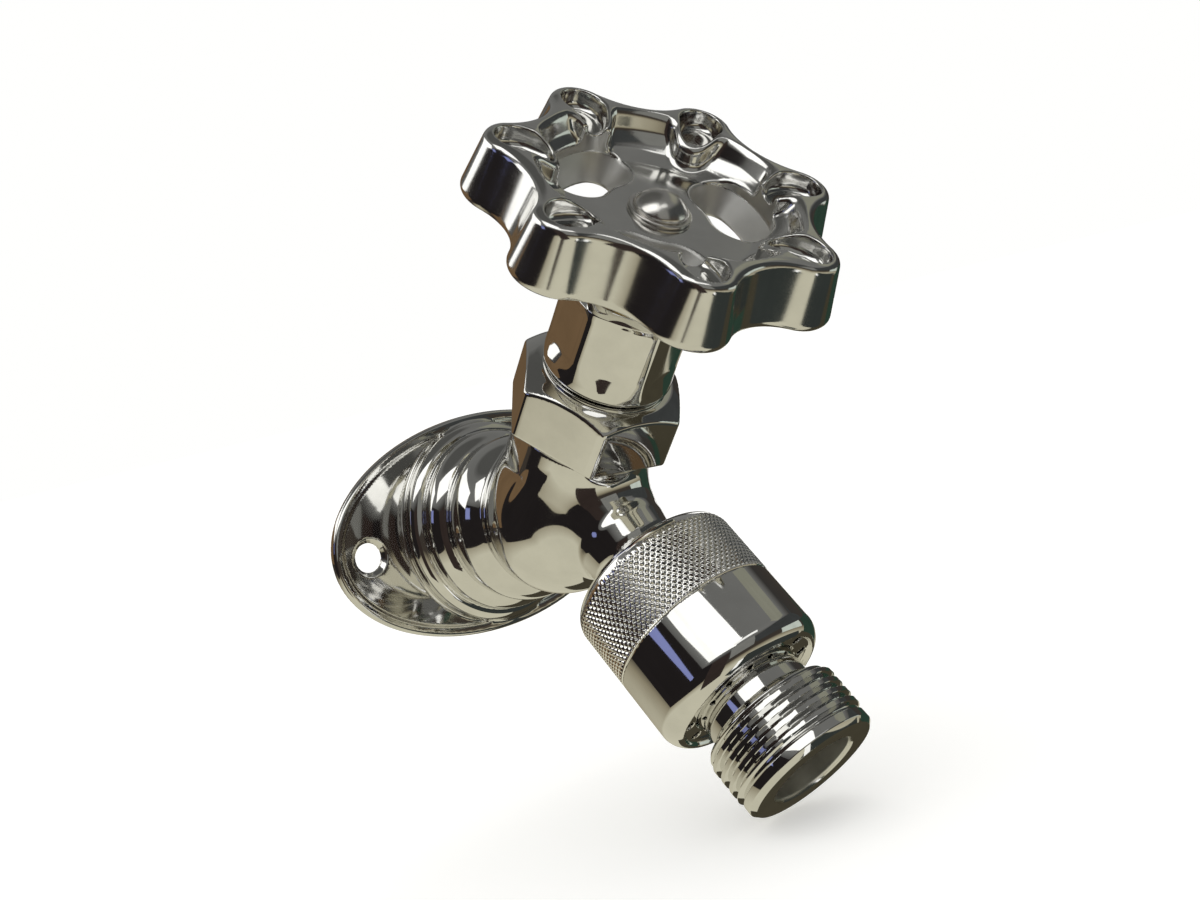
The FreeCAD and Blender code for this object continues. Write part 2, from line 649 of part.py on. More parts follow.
def build_washer_group():
    top, web, boss = washer_levels()
    ring("seat_washer", STEM, D.washer_screw_radius + D.running_gap, D.washer_radius, D.seat_lip_level, top)
    turned("washer_holder", STEM, [
        (D.washer_screw_radius + D.running_gap, top),
        (D.washer_radius + D.running_gap, top),
        (D.washer_radius + D.running_gap, top - D.washer_grip),
        (D.holder_radius, top - D.washer_grip),
        (D.holder_radius, web),
        (D.holder_boss_radius, web),
        (D.holder_boss_radius, boss),
        (D.pin_radius + D.running_gap, boss),
        (D.pin_radius + D.running_gap, web),
        (D.washer_screw_radius + D.running_gap, web),
    ])
    head = D.seat_lip_level - D.washer_screw_head_height
    turned("seat_washer_screw", STEM, [
        (0, head),
        (D.washer_screw_head_radius - D.washer_screw_head_height / 3, head),
        (D.washer_screw_head_radius, head + D.washer_screw_head_height / 2),
        (D.washer_screw_head_radius, D.seat_lip_level),
        (D.washer_screw_radius, D.seat_lip_level),
        (D.washer_screw_radius, web),
        (0, web),
    ])


def build_stem():
    _, web, boss = washer_levels()
    shoulder = boss + D.collar_gap
    thread_top = D.lift_thread_start + D.lift_thread_length
    body = turned("stem", STEM, [
        (0, web + D.collar_gap),
        (D.pin_radius, web + D.collar_gap),
        (D.pin_radius, shoulder),
        (D.stem_shoulder_radius, shoulder),
        (D.stem_shoulder_radius, D.lift_thread_start),
        (D.lift_thread_radius, D.lift_thread_start),
        (D.lift_thread_radius, thread_top),
        (D.stem_radius, thread_top),
        (D.stem_radius, DRIVE_FOOT),
        (0, DRIVE_FOOT),
    ])
    drive = new_sketch(body, "stem_drive_outline", "XY_Plane")
    drive.setExpression("AttachmentOffset.Base.z", DRIVE_FOOT.text)
    half = D.drive_side / 2
    draw_outline(drive, [(half * -1, half * -1), (half, half * -1), (half, half), (half * -1, half)])
    doc.recompute()
    pad = body.newObject("PartDesign::Pad", "stem_drive")
    pad.Profile = drive
    pad.setExpression("Length", "Sizes.drive_height")
    doc.recompute()
    top = DRIVE_FOOT + D.drive_height
    bore = new_sketch(body, "stem_tap_outline", "XZ_Plane")
    foot = HUB_TOP + D.head_washer_height - D.screw_length
    draw_outline(bore, [
        (0, foot - D.seated_gap),
        (D.screw_radius + D.seated_gap, foot - D.seated_gap),
        (D.screw_radius + D.seated_gap, top + 1),
        (0, top + 1),
    ])
    doc.recompute()
    tap = body.newObject("PartDesign::Groove", "stem_tap")
    tap.Profile = bore
    tap.ReferenceAxis = (bore, ["V_Axis"])
    tap.Angle = 360
    body.Tip = tap
    doc.recompute()


# Bonnet, packing and packing nut

def build_bonnet():
    hex_foot = D.branch_top + D.gasket_thickness
    hex_top = hex_foot + D.hex_height
    dome_top = hex_top + D.dome_height
    thread = D.branch_bore_radius - D.running_gap
    blank = turned("bonnet_blank", STEM, [
        (D.holder_radius + D.collar_gap, D.bonnet_foot),
        (thread, D.bonnet_foot),
        (thread, hex_foot),
        (D.hex_corner - D.branch_edge * 2, hex_foot),
        (D.hex_corner, hex_foot + D.branch_edge),
        (D.hex_corner, hex_top, D.dome_round),
        (D.packing_nut_radius, dome_top),
        (D.nut_thread_radius, dome_top),
        (D.nut_thread_radius, D.nut_thread_top),
        (D.packing_radius, D.nut_thread_top),
        (D.packing_radius, D.packing_floor),
        (D.stem_radius + D.running_gap, D.packing_floor),
        (D.stem_radius + D.running_gap, D.lift_relief_top),
        (D.lift_relief_radius, D.lift_relief_top),
        (D.lift_relief_radius, D.lift_bore_top),
        (D.lift_thread_radius + D.running_gap, D.lift_bore_top),
        (D.lift_thread_radius + D.running_gap, D.lift_bore_foot),
        (D.holder_radius + D.collar_gap, D.lift_bore_foot),
    ])
    hexagon = hexagon_shape(D.hex_flats.value, D.hex_turn.value,
                            D.bonnet_foot.value - 1, D.nut_thread_top.value + 1)
    prism = coded("bonnet_hexagon", STEM, hexagon)
    bonnet = doc.addObject("Part::Common", "bonnet")
    bonnet.Base = blank
    bonnet.Tool = prism
    ring("bonnet_gasket", STEM, D.branch_bore_radius + D.seated_gap, D.branch_radius - D.branch_edge,
         D.branch_top, hex_foot)


def build_packing():
    inner = (D.stem_radius + D.seated_gap).value
    outer = (D.packing_radius - D.running_gap).value
    height = D.packing_height.value
    count = int(D.packing_count.value)
    rings = []
    for place in range(count):
        foot = D.packing_floor.value + place * height
        rings.append(rod_shape(outer, foot, foot + height).cut(rod_shape(inner, foot - 1, foot + height + 1)))
    coded("packing_rings", STEM, Part.makeCompound(rings))
    gland_foot = D.packing_floor + D.packing_height * D.packing_count
    flange = D.nut_thread_top + D.gland_rise
    gland_top = flange + D.gland_flange_height
    inside = D.stem_radius + D.seated_gap
    turned("packing_gland", STEM, [
        (inside, gland_foot),
        (D.packing_radius - D.running_gap, gland_foot),
        (D.packing_radius - D.running_gap, flange),
        (D.gland_flange_radius, flange),
        (D.gland_flange_radius, gland_top),
        (inside, gland_top),
    ])
    ring("glide_ring", STEM, inside, D.gland_flange_radius, gland_top, gland_top + D.glide_ring_height)
    return gland_top + D.glide_ring_height


def build_packing_nut(ceiling):
    bevel = D.packing_nut_bevel
    turned("packing_nut", STEM, [
        (D.nut_thread_radius + D.running_gap, D.packing_nut_foot),
        (D.packing_nut_radius - D.packing_nut_round, D.packing_nut_foot, D.packing_nut_round),
        (D.packing_nut_radius, D.packing_nut_foot + D.packing_nut_round),
        (D.packing_nut_radius, D.packing_nut_top - bevel),
        (D.packing_nut_radius - bevel, D.packing_nut_top),
        (D.stem_radius + D.seated_gap, D.packing_nut_top),
        (D.stem_radius + D.seated_gap, ceiling),
        (D.nut_thread_radius + D.running_gap, ceiling),
    ])


# Handle

def lobed_wire(tip, valley, tip_round, height):
    """Closed outline of round lobes joined by hollow arcs that run on smoothly."""
    count = int(D.lobe_count.value)
    half = 180.0 / count
    near = tip - tip_round
    swing = math.cos(math.radians(half))
    hollow = (near ** 2 + valley ** 2 - 2 * near * valley * swing - tip_round ** 2) / (
        2 * (near * swing + tip_round - valley))
    edges = []
    for lobe in range(count):
        turn = D.lobe_turn.value + lobe * 360.0 / count
        lobe_centre = polar(near, turn, height)
        before = polar(valley + hollow, turn - half, height)
        after = polar(valley + hollow, turn + half, height)
        start = lobe_centre + (before - lobe_centre).normalize() * tip_round
        lobe_centre = polar(near, turn, height)
        finish = lobe_centre + (after - lobe_centre).normalize() * tip_round
        edges.append(Part.Arc(start, polar(tip, turn, height), finish).toShape())
        next_centre = polar(near, turn + 2 * half, height)
        after = polar(valley + hollow, turn + half, height)
        begin_next = next_centre + (after - next_centre).normalize() * tip_round
        edges.append(Part.Arc(finish, polar(valley, turn + half, height), begin_next).toShape())
    return Part.Wire(edges)


def leaf_tool(turn):
    """Leaf pocket in one lobe: two rounds joined by their common tangents."""
    near, far = D.leaf_inner.value, D.leaf_outer.value
    big, small = D.leaf_inner_round.value, D.leaf_outer_round.value
    lean = math.acos((big - small) / (far - near))
    foot = HANDLE_RIM.value - D.leaf_depth.value
    reach = D.leaf_depth.value + 1
    side = (math.cos(lean), math.sin(lean))
    corners = [(near + big * side[0], big * side[1]), (far + small * side[0], small * side[1]),
               (far + small * side[0], -small * side[1]), (near + big * side[0], -big * side[1])]
    points = [FreeCAD.Vector(x, y, foot) for x, y in corners]
    edges = [Part.LineSegment(points[0], points[1]).toShape(),
             Part.Arc(points[1], FreeCAD.Vector(far + small, 0, foot), points[2]).toShape(),
             Part.LineSegment(points[2], points[3]).toShape(),
             Part.Arc(points[3], FreeCAD.Vector(near - big, 0, foot), points[0]).toShape()]
    tool = Part.Face(Part.Wire(edges)).extrude(FreeCAD.Vector(0, 0, reach))
    tool.rotate(FreeCAD.Vector(), FreeCAD.Vector(0, 0, 1), turn)
    return tool


def window_tool(turn):
    """Kidney window through the web, with round ends."""
    inner, outer = D.window_inner.value, D.window_outer.value
    middle = (inner + outer) / 2
    end_round = (outer - inner) / 2
    half = D.window_spread.value / 2 - math.degrees(end_round / middle)
    foot = HANDLE_FOOT.value - 1
    edges = [Part.Arc(polar(outer, -half, foot), polar(outer, 0, foot), polar(outer, half, foot)).toShape(),
             Part.Arc(polar(outer, half, foot),
                      polar(middle, half, foot) + polar(end_round, half + 90),
                      polar(inner, half, foot)).toShape(),
             Part.Arc(polar(inner, half, foot), polar(inner, 0, foot), polar(inner, -half, foot)).toShape(),
             Part.Arc(polar(inner, -half, foot),
                      polar(middle, -half, foot) + polar(end_round, -half - 90),
                      polar(outer, -half, foot)).toShape()]
    reach = HANDLE_RIM.value - foot
    tool = Part.Face(Part.Wire(edges)).extrude(FreeCAD.Vector(0, 0, reach))
    tool.rotate(FreeCAD.Vector(), FreeCAD.Vector(0, 0, 1), turn)
    return tool


def turned_shape(corners):
    points = [FreeCAD.Vector(radius, 0, height) for radius, height in corners + corners[:1]]
    face = Part.Face(Part.makePolygon(points))
    return face.revolve(FreeCAD.Vector(), FreeCAD.Vector(0, 0, 1), 360)


def build_handle():
    rim, foot = HANDLE_RIM.value, HANDLE_FOOT.value
    flare = D.wall_flare.value
    tip, valley, tip_round = D.lobe_tip_radius.value, D.lobe_valley_radius.value, D.lobe_round.value
    edge = D.rim_round.value
    slant = flare * edge / (rim - foot)
    outlines = [
        lobed_wire(tip + flare - edge, valley + flare - edge, tip_round + flare - edge, foot),
        lobed_wire(tip + flare - slant, valley + flare - slant, tip_round + flare - slant, foot + edge),
        lobed_wire(tip + slant, valley + slant, tip_round + slant, rim - edge),
        lobed_wire(tip - edge, valley - edge, tip_round - edge, rim),
    ]
    blank = Part.makeLoft(outlines, True, True)
    hub_top = HUB_TOP.value
    hub, dish = D.handle_hub_radius.value, D.dish_radius.value
    dish_tool = turned_shape([
        (0, hub_top), (D.dish_flat.value, hub_top),
        (dish - D.dish_slant.value, hub_top + D.dish_rise.value), (dish, rim + 1), (0, rim + 1)])
    count = int(D.lobe_count.value)
    for lobe in range(count):
        spot = polar(D.buttress_centre.value, D.lobe_turn.value + lobe * 360.0 / count)
        buttress = rod_shape(D.buttress_round.value, hub_top - 1, rim + 2, spot.x, spot.y)
        dish_tool = dish_tool.cut(buttress)
    hollow_radius = D.window_outer.value
    hub_foot = DRIVE_FOOT.value + D.seated_gap.value
    hollow = turned_shape([
        (hub, foot - 1), (hollow_radius, foot - 1),
        (hollow_radius, foot + D.handle_hollow.value), (hub, foot + D.handle_hollow.value)])
    shape = blank.cut(dish_tool).cut(hollow)
    shape = shape.fuse(rod_shape(hub, hub_foot, foot + D.handle_hollow.value))
    for lobe in range(count):
        shape = shape.cut(leaf_tool(D.lobe_turn.value + lobe * 360.0 / count))
    windows = int(D.window_count.value)
    for window in range(windows):
        shape = shape.cut(window_tool(D.window_turn.value + window * 360.0 / windows))
    side = D.drive_side.value + 2 * D.running_gap.value
    socket = Part.makeBox(side, side, D.drive_height.value + 1,
                          FreeCAD.Vector(-side / 2, -side / 2, DRIVE_FOOT.value - 0.5))
    shank = rod_shape(D.screw_radius.value + D.seated_gap.value, hub_foot, hub_top + 1)
    shape = shape.cut(socket).cut(shank).removeSplitter()
    coded("handle", STEM, shape)


def build_handle_fasteners():
    washer_top = HUB_TOP + D.head_washer_height
    ring("handle_washer", STEM, D.screw_radius + D.seated_gap, D.head_washer_radius, HUB_TOP, washer_top)
    head_top = washer_top + D.screw_head_height
    foot = washer_top - D.screw_length
    turned("handle_screw", STEM, [
        (0, foot),
        (D.screw_radius, foot),
        (D.screw_radius, washer_top),
        (D.screw_head_radius, washer_top),
        (D.screw_head_radius, washer_top + D.head_washer_height / 2, D.screw_head_round),
        (D.screw_head_flat, head_top),
        (0, head_top),
    ])


# Vacuum breaker

def breaker_levels():
    gasket_foot = D.horn_end + D.hose_gasket_thickness
    lip_foot = gasket_foot + D.collar_lip
    seat_foot = lip_foot + D.seated_gap + D.check_seat_height
    diaphragm_foot = seat_foot + D.diaphragm_thickness
    return gasket_foot, lip_foot, seat_foot, diaphragm_foot


def build_breaker_casing():
    gasket_foot, lip_foot, _, _ = breaker_levels()
    thread = D.hose_thread_radius + D.seated_gap
    turned("breaker_collar", OUTLET, [
        (thread, D.collar_top),
        (COLLAR_EDGE, D.collar_top, D.collar_round),
        (BREAKER_RADIUS, D.collar_top + D.collar_edge_height),
        (BREAKER_RADIUS, D.collar_foot),
        (SPIGOT_RADIUS + D.running_gap, D.collar_foot),
        (SPIGOT_RADIUS + D.running_gap, lip_foot),
        (D.collar_lip_radius, lip_foot),
        (D.collar_lip_radius, gasket_foot),
        (thread, gasket_foot),
    ])
    ring("hose_gasket", OUTLET, NIPPLE_BORE, D.hose_thread_radius - D.hose_thread_depth,
         D.horn_end, gasket_foot)
    hole = NIPPLE_NECK + D.running_gap
    shell = turned("breaker_shell_blank", OUTLET, [
        (SHELL_BORE, lip_foot + D.seated_gap),
        (SPIGOT_RADIUS, lip_foot + D.seated_gap),
        (SPIGOT_RADIUS, D.collar_foot),
        (BREAKER_RADIUS, D.collar_foot),
        (BREAKER_RADIUS, D.shell_bottom - D.shell_edge_height, D.shell_round),
        (SHELL_EDGE, D.shell_bottom),
        (hole + D.shell_mouth, D.shell_bottom - D.shell_dish),
        (hole, D.shell_bottom - D.shell_dish - D.shell_mouth),
        (hole, D.shell_floor),
        (SHELL_BORE, D.shell_floor),
    ])
    vents = int(D.vent_count.value)
    tools = []
    for place in range(vents):
        spot = polar(VENT_RING.value, D.vent_turn.value + place * 360.0 / vents)
        tools.append(rod_shape(D.vent_radius.value, D.shell_floor.value - 1, D.shell_bottom.value + 1,
                               spot.x, spot.y))
    drill = coded("vent_drill", OUTLET, Part.makeCompound(tools))
    cut("breaker_shell", shell, [drill])


def build_check():
    _, lip_foot, seat_foot, diaphragm_foot = breaker_levels()
    outer = SHELL_BORE - D.seated_gap
    turned("check_seat", OUTLET, [
        (D.check_seat_bore, lip_foot + D.seated_gap),
        (outer, lip_foot + D.seated_gap),
        (outer, seat_foot),
        (D.check_seat_bore, seat_foot),
    ])
    ring("vent_diaphragm", OUTLET, D.diaphragm_bore, outer, seat_foot, diaphragm_foot)
    disc_foot = diaphragm_foot + D.check_disc_thickness
    plate_foot = disc_foot + D.plunger_plate
    ring("check_disc", OUTLET, D.washer_screw_radius + D.running_gap, D.check_disc_radius,
         diaphragm_foot, disc_foot)
    turned("check_plunger", OUTLET, [
        (0, diaphragm_foot - D.diaphragm_thickness / 2),
        (D.plunger_stem_radius * 1.3, diaphragm_foot - D.diaphragm_thickness / 2),
        (D.plunger_stem_radius * 1.3, diaphragm_foot),
        (D.washer_screw_radius, diaphragm_foot),
        (D.washer_screw_radius, disc_foot),
        (D.plunger_radius, disc_foot),
        (D.plunger_radius, plate_foot),
        (D.plunger_stem_radius, plate_foot),
        (D.plunger_stem_radius, plate_foot + D.plunger_stem_length),
        (0, plate_foot + D.plunger_stem_length),
    ])
    return diaphragm_foot, plate_foot


def build_cage(diaphragm_foot):
    top = (diaphragm_foot + D.cage_gap).value
    foot = nipple_head().value
    sleeve = rod_shape(D.cage_radius.value, top, foot).cut(rod_shape(D.cage_bore.value, top - 1, foot + 1))
    collar = rod_shape(CAGE_FLANGE.value, foot - D.cage_flange_height.value, foot)
    collar = collar.cut(rod_shape(D.cage_bore.value, top, foot + 1))
    slots = int(D.vent_count.value)
    air_middle = (D.cage_radius.value + CAGE_FLANGE.value) / 2
    air_width = CAGE_FLANGE.value - D.cage_radius.value
    web = rod_shape(D.cage_boss_radius.value, foot - D.cage_web.value, foot)
    count = int(D.cage_arm_count.value)
    width = D.cage_arm_width.value
    for arm in range(count):
        bar = Part.makeBox((D.cage_bore.value + D.cage_radius.value) / 2, width, D.cage_web.value,
                           FreeCAD.Vector(0, -width / 2, foot - D.cage_web.value))
        bar.rotate(FreeCAD.Vector(), FreeCAD.Vector(0, 0, 1), arm * 360.0 / count)
        web = web.fuse(bar)
    shape = sleeve.fuse(collar).fuse(web)
    for slot in range(slots):
        spot = polar(air_middle + air_width / 2, slot * 360.0 / slots)
        shape = shape.cut(rod_shape(air_width * 0.8, foot - D.cage_flange_height.value - 1, foot + 1,
                                    spot.x, spot.y))
    guide = rod_shape(D.plunger_stem_radius.value + D.running_gap.value, top, foot + 1)
    coded("check_cage", OUTLET, shape.cut(guide).removeSplitter())


def build_spring(plate_foot):
    """Coil spring between the plunger plate and the cage's spider, one unbroken tube."""
    wire = D.spring_wire.value
    start = plate_foot.value + wire / 2 + D.running_gap.value
    finish = nipple_head().value - D.cage_web.value - wire / 2 - D.running_gap.value
    turns = int(D.spring_turns.value)
    pitch = (finish - start) / turns
    print("least gap between the turns of the check spring:", round(pitch - wire, 2), "mm")
    path = Part.Wire(Part.makeHelix(pitch, pitch * turns, D.spring_radius.value))
    centre = FreeCAD.Vector(D.spring_radius.value, 0, 0)
    # The section is two half circles: swept as one circle, the coil doesn't always mesh closed.
    halves = [Part.makeCircle(wire / 2, centre, FreeCAD.Vector(0, 1, 0), a, a + 180) for a in (0, 180)]
    coil = path.makePipeShell([Part.Wire(halves)], True, True)
    coil.translate(FreeCAD.Vector(0, 0, start))
    coded("check_spring", OUTLET, coil)


def nipple_head():
    """Upper end of the nipple, its lip resting on the clip that lies on the shell's floor."""
    return D.shell_floor - D.clip_height - D.nipple_lip


def build_nipple():
    root = D.hose_thread_radius - D.hose_thread_depth
    neck = NIPPLE_NECK
    head = nipple_head()
    lip_foot = head + D.nipple_lip
    seal_middle = (D.shell_floor + D.shell_bottom - D.shell_dish - D.shell_mouth) / 2
    seal_half = D.seal_section / 2 + D.running_gap
    seal_bottom = neck - D.seal_section
    ridges = hose_ridges(D.nipple_thread_start, D.nipple_ring_start)
    turned("outlet_nipple", OUTLET, [
        (NIPPLE_BORE, head),
        (neck - D.running_gap * 2, head),
        (neck - D.running_gap * 2, lip_foot),
        (CLIP_GROOVE - D.running_gap, lip_foot),
        (CLIP_GROOVE - D.running_gap, D.shell_floor),
        (neck, D.shell_floor),
        (neck, seal_middle - seal_half),
        (seal_bottom, seal_middle - seal_half),
        (seal_bottom, seal_middle + seal_half),
        (neck, seal_middle + seal_half),
        (neck, D.nipple_thread_start - D.hose_thread_depth),
        (root, D.nipple_thread_start),
    ] + ridges + [
        (root, D.nipple_ring_start),
        (NIPPLE_RING, D.nipple_ring_start + D.hose_thread_depth / 2),
        (NIPPLE_RING, D.nipple_end - D.nipple_end_bevel),
        (NIPPLE_RING - D.nipple_end_bevel, D.nipple_end),
        (NIPPLE_BORE + D.nipple_mouth_bevel, D.nipple_end),
        (NIPPLE_BORE, D.nipple_end - D.nipple_mouth_bevel),
    ])
    seal = doc.addObject("Part::Torus", "nipple_seal_ring")
    seal.setExpression("Radius1", (neck + D.running_gap - D.seal_section / 2).text)
    seal.setExpression("Radius2", (D.seal_section / 2).text)
    put_on_line(seal, OUTLET)
    tilt = "Sizes.outlet_tilt * 1 deg"
    seal.setExpression("Placement.Base.y", f"-Sizes.cross_out - {seal_middle.text} * cos({tilt})")
    seal.setExpression("Placement.Base.z", f"Sizes.cross_up - {seal_middle.text} * sin({tilt})")


def build_clip():
    """Open spring clip in the nipple's groove."""
    foot = D.shell_floor.value
    top = foot - D.clip_height.value
    clip = rod_shape(D.clip_radius.value, top, foot).cut(
        rod_shape(CLIP_GROOVE.value, top - 1, foot + 1))
    opening = 2 * D.clip_radius.value * math.sin(math.radians(D.clip_gap_angle.value / 2))
    gap = Part.makeBox(D.clip_radius.value * 2, opening * 0.8, D.clip_height.value + 2,
                       FreeCAD.Vector(0, -opening * 0.4, top - 1))
    coded("retaining_clip", OUTLET, clip.cut(gap))


build_valve_body()
build_seat()
build_washer_group()
build_stem()
build_bonnet()
build_packing_nut(build_packing())
build_handle()
build_handle_fasteners()
build_breaker_casing()
foot_of_diaphragm, foot_of_plate = build_check()
build_cage(foot_of_diaphragm)
build_spring(foot_of_plate)
build_nipple()
build_clip()
doc.recompute()

NODES = [
    "valve_body", "renewable_seat", "seat_washer", "washer_holder", "seat_washer_screw", "stem",
    "bonnet", "bonnet_gasket", "packing_rings", "packing_gland", "glide_ring", "packing_nut",
    "handle", "handle_washer", "handle_screw",
    "breaker_collar", "hose_gasket", "breaker_shell", "check_seat", "vent_diaphragm", "check_disc",
    "check_plunger", "check_cage", "check_spring", "outlet_nipple", "nipple_seal_ring", "retaining_clip",
]

faults = []
for item in doc.Objects:
    if "Invalid" in item.State or "Error" in item.State:
        faults.append(f"{item.Name}: {item.State}")
for name in NODES:
    node = doc.getObject(name)
    node.Label = name
    if node.Shape.isNull() or not node.Shape.isValid():
        faults.append(f"{name}: shape not valid")
        continue
    node.Shape.exportStep(f"parts/{name}.step")
if faults:
    raise RuntimeError("; ".join(faults))
print(len(NODES), "nodes exported")
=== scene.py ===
"""Looks of a chrome angle sillcock: polished casting, scalloped handle, knurled vacuum breaker.

All shapes are worked out in millimetres on the three lines of the part: the inlet line out of the
wall, the stem line and the outlet line, which cross inside the ball of the body.
"""

import functools
import json
import math

import bmesh
import bpy
import numpy as np
from mathutils import Matrix, Vector


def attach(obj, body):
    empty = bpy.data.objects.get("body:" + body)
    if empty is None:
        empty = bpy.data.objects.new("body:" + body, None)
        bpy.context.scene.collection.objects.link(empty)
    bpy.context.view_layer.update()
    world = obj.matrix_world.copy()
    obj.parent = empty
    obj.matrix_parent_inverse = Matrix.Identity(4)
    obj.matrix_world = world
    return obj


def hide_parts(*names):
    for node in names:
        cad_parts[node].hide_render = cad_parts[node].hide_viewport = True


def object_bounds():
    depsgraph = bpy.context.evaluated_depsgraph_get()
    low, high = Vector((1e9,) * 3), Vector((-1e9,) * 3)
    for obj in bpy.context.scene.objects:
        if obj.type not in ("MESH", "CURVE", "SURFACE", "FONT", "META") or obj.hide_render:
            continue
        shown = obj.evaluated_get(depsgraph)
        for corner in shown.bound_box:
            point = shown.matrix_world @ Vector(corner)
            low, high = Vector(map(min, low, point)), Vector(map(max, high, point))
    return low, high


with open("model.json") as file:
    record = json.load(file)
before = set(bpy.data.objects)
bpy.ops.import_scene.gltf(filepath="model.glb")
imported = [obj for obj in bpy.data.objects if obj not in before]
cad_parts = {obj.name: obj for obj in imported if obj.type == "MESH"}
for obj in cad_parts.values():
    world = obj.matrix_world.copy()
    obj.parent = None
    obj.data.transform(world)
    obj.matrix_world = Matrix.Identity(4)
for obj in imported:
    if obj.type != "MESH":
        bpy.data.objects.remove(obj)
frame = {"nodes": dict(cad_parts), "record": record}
cad_low, cad_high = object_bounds()

MM = 0.001
FINE = 1.0


# The three lines that carry the pieces

class Line:
    """A place to build on: origin in mm, z along the line, x along the flange."""

    def __init__(self, origin, along):
        self.origin = Vector(origin)
        self.along = Vector(along).normalized()
        self.side = Vector((1, 0, 0))
        self.up = self.along.cross(self.side)

    def matrix(self):
        """From the line's own millimetres to the row frame's metres."""
        turn = Matrix((self.side, self.up, self.along)).transposed().to_4x4()
        return Matrix.Scale(MM, 4) @ Matrix.Translation(self.origin) @ turn

    def local(self, x, y, z):
        """Arrays of row frame millimetres as the line's x, y and height."""
        shifted = (x - self.origin.x, y - self.origin.y, z - self.origin.z)
        return [sum(part * axis[k] for k, part in enumerate(shifted))
                for axis in (self.side, self.up, self.along)]


CROSSING = (0, -31.8, 7.0)
STEM_TILT = math.radians(45)
OUTLET_TILT = math.radians(50)
STEM = Line(CROSSING, (0, -math.cos(STEM_TILT), math.sin(STEM_TILT)))
OUTLET = Line(CROSSING, (0, -math.cos(OUTLET_TILT), -math.sin(OUTLET_TILT)))


# Shapes as signed distances in millimetres, negative inside. A distance measured square to a line
# and not to its own slanted wall is brought back to size by a factor a little under 1.

def joined(a, b, round_radius):
    """Both shapes, with a fillet where they meet."""
    u = np.maximum(round_radius - a, 0)
    v = np.maximum(round_radius - b, 0)
    return np.maximum(round_radius, np.minimum(a, b)) - np.hypot(u, v)


def common(a, b, round_radius):
    """What two shapes share, with a rounded edge where they meet."""
    u = np.maximum(round_radius + a, 0)
    v = np.maximum(round_radius + b, 0)
    return np.minimum(-round_radius, np.maximum(a, b)) + np.hypot(u, v)


def carved(a, tool, round_radius):
    """One shape less a tool, with a rounded edge."""
    return common(a, -tool, round_radius)


def slab(height, low, high):
    """Everything between two heights."""
    return np.abs(height - (low + high) / 2) - (high - low) / 2


def rod(radius, height, limit, low, high, edge=0.0):
    """Round rod between two heights."""
    return common(radius - limit, slab(height, low, high), edge)


def rods(radius, height, places):
    """Several rods on one line, each given as limit, low and high."""
    return functools.reduce(np.minimum, [rod(radius, height, *place) for place in places])


def oval(x, y, half_x, half_y):
    """Distance from an ellipse, close to true near its line."""
    near = np.hypot(x / half_x, y / half_y)
    steep = np.hypot(x / half_x ** 2, y / half_y ** 2)
    return near * (near - 1) / np.maximum(steep, 1e-6)


def between(value, low, high):
    """Share of the way from low to high, kept from 0 to 1."""
    return np.clip((value - low) / (high - low), 0, 1)


def thread_height(phase):
    """Height of a thread ridge over one pitch, from 0 to 1, with flat crest and root."""
    return np.clip(1.75 - 3.6 * np.abs(phase - np.floor(phase) - 0.5), 0, 1)


# Meshes

def surface(field, low, high, cell):
    """Points, quads and normals of the surface where the field of x, y, z is zero."""
    cell = cell * FINE
    axes = [np.arange(a, b + cell, cell) for a, b in zip(low, high)]
    values = field(*np.meshgrid(*axes, indexing="ij", sparse=True))
    inside = values < 0
    shape = tuple(n - 1 for n in inside.shape)
    corners = [(i, j, k) for i in (0, 1) for j in (0, 1) for k in (0, 1)]

    def part(array, corner):
        return array[tuple(slice(c, c + n) for c, n in zip(corner, shape))]

    count = sum(part(inside, c).astype(np.int8) for c in corners)
    active = (count > 0) & (count < 8)
    where = np.argwhere(active)
    total = np.zeros((len(where), 3))
    hits = np.zeros(len(where))
    index = tuple(where.T)
    for axis in range(3):
        for start in (c for c in corners if c[axis] == 0):
            end = tuple(1 if n == axis else c for n, c in enumerate(start))
            a = part(values, start)[index]
            b = part(values, end)[index]
            crossed = (a < 0) != (b < 0)
            share = np.where(crossed, a / np.where(crossed, a - b, 1), 0)
            spot = where + np.array(start)
            spot = spot.astype(float)
            spot[:, axis] += share
            total += spot * crossed[:, None]
            hits += crossed
    points = np.array(low) + total / hits[:, None] * cell
    number = np.full(shape, -1, np.int64)
    number[index] = np.arange(len(where))
    quads = []
    for axis in range(3):
        first, second = (axis + 1) % 3, (axis + 2) % 3
        below = [slice(None)] * 3
        above = [slice(None)] * 3
        below[axis], above[axis] = slice(None, -1), slice(1, None)
        change = inside[tuple(below)].astype(np.int8) - inside[tuple(above)].astype(np.int8)
        edges = np.argwhere(change)
        kept = np.all([(edges[:, n] > 0) & (edges[:, n] < shape[n]) for n in (first, second)],
                      axis=0)
        edges = edges[kept]
        step_first = np.eye(3, dtype=int)[first]
        step_second = np.eye(3, dtype=int)[second]
        around = [edges - step_first - step_second, edges - step_second,
                  edges, edges - step_first]
        faces = np.stack([number[tuple(cells.T)] for cells in around], axis=1)
        outward = change[tuple(edges.T)] > 0
        faces[~outward] = faces[~outward][:, ::-1]
        quads.append(faces)
    for _ in range(3):
        value, slope = gradient(field, points, cell * 0.25)
        step = np.clip(value / np.maximum((slope ** 2).sum(1), 0.2), -cell, cell)
        points -= slope * step[:, None]
    _, slope = gradient(field, points, cell * 0.25)
    normals = slope / np.maximum(np.linalg.norm(slope, axis=1), 1e-9)[:, None]
    return points, np.concatenate(quads), normals


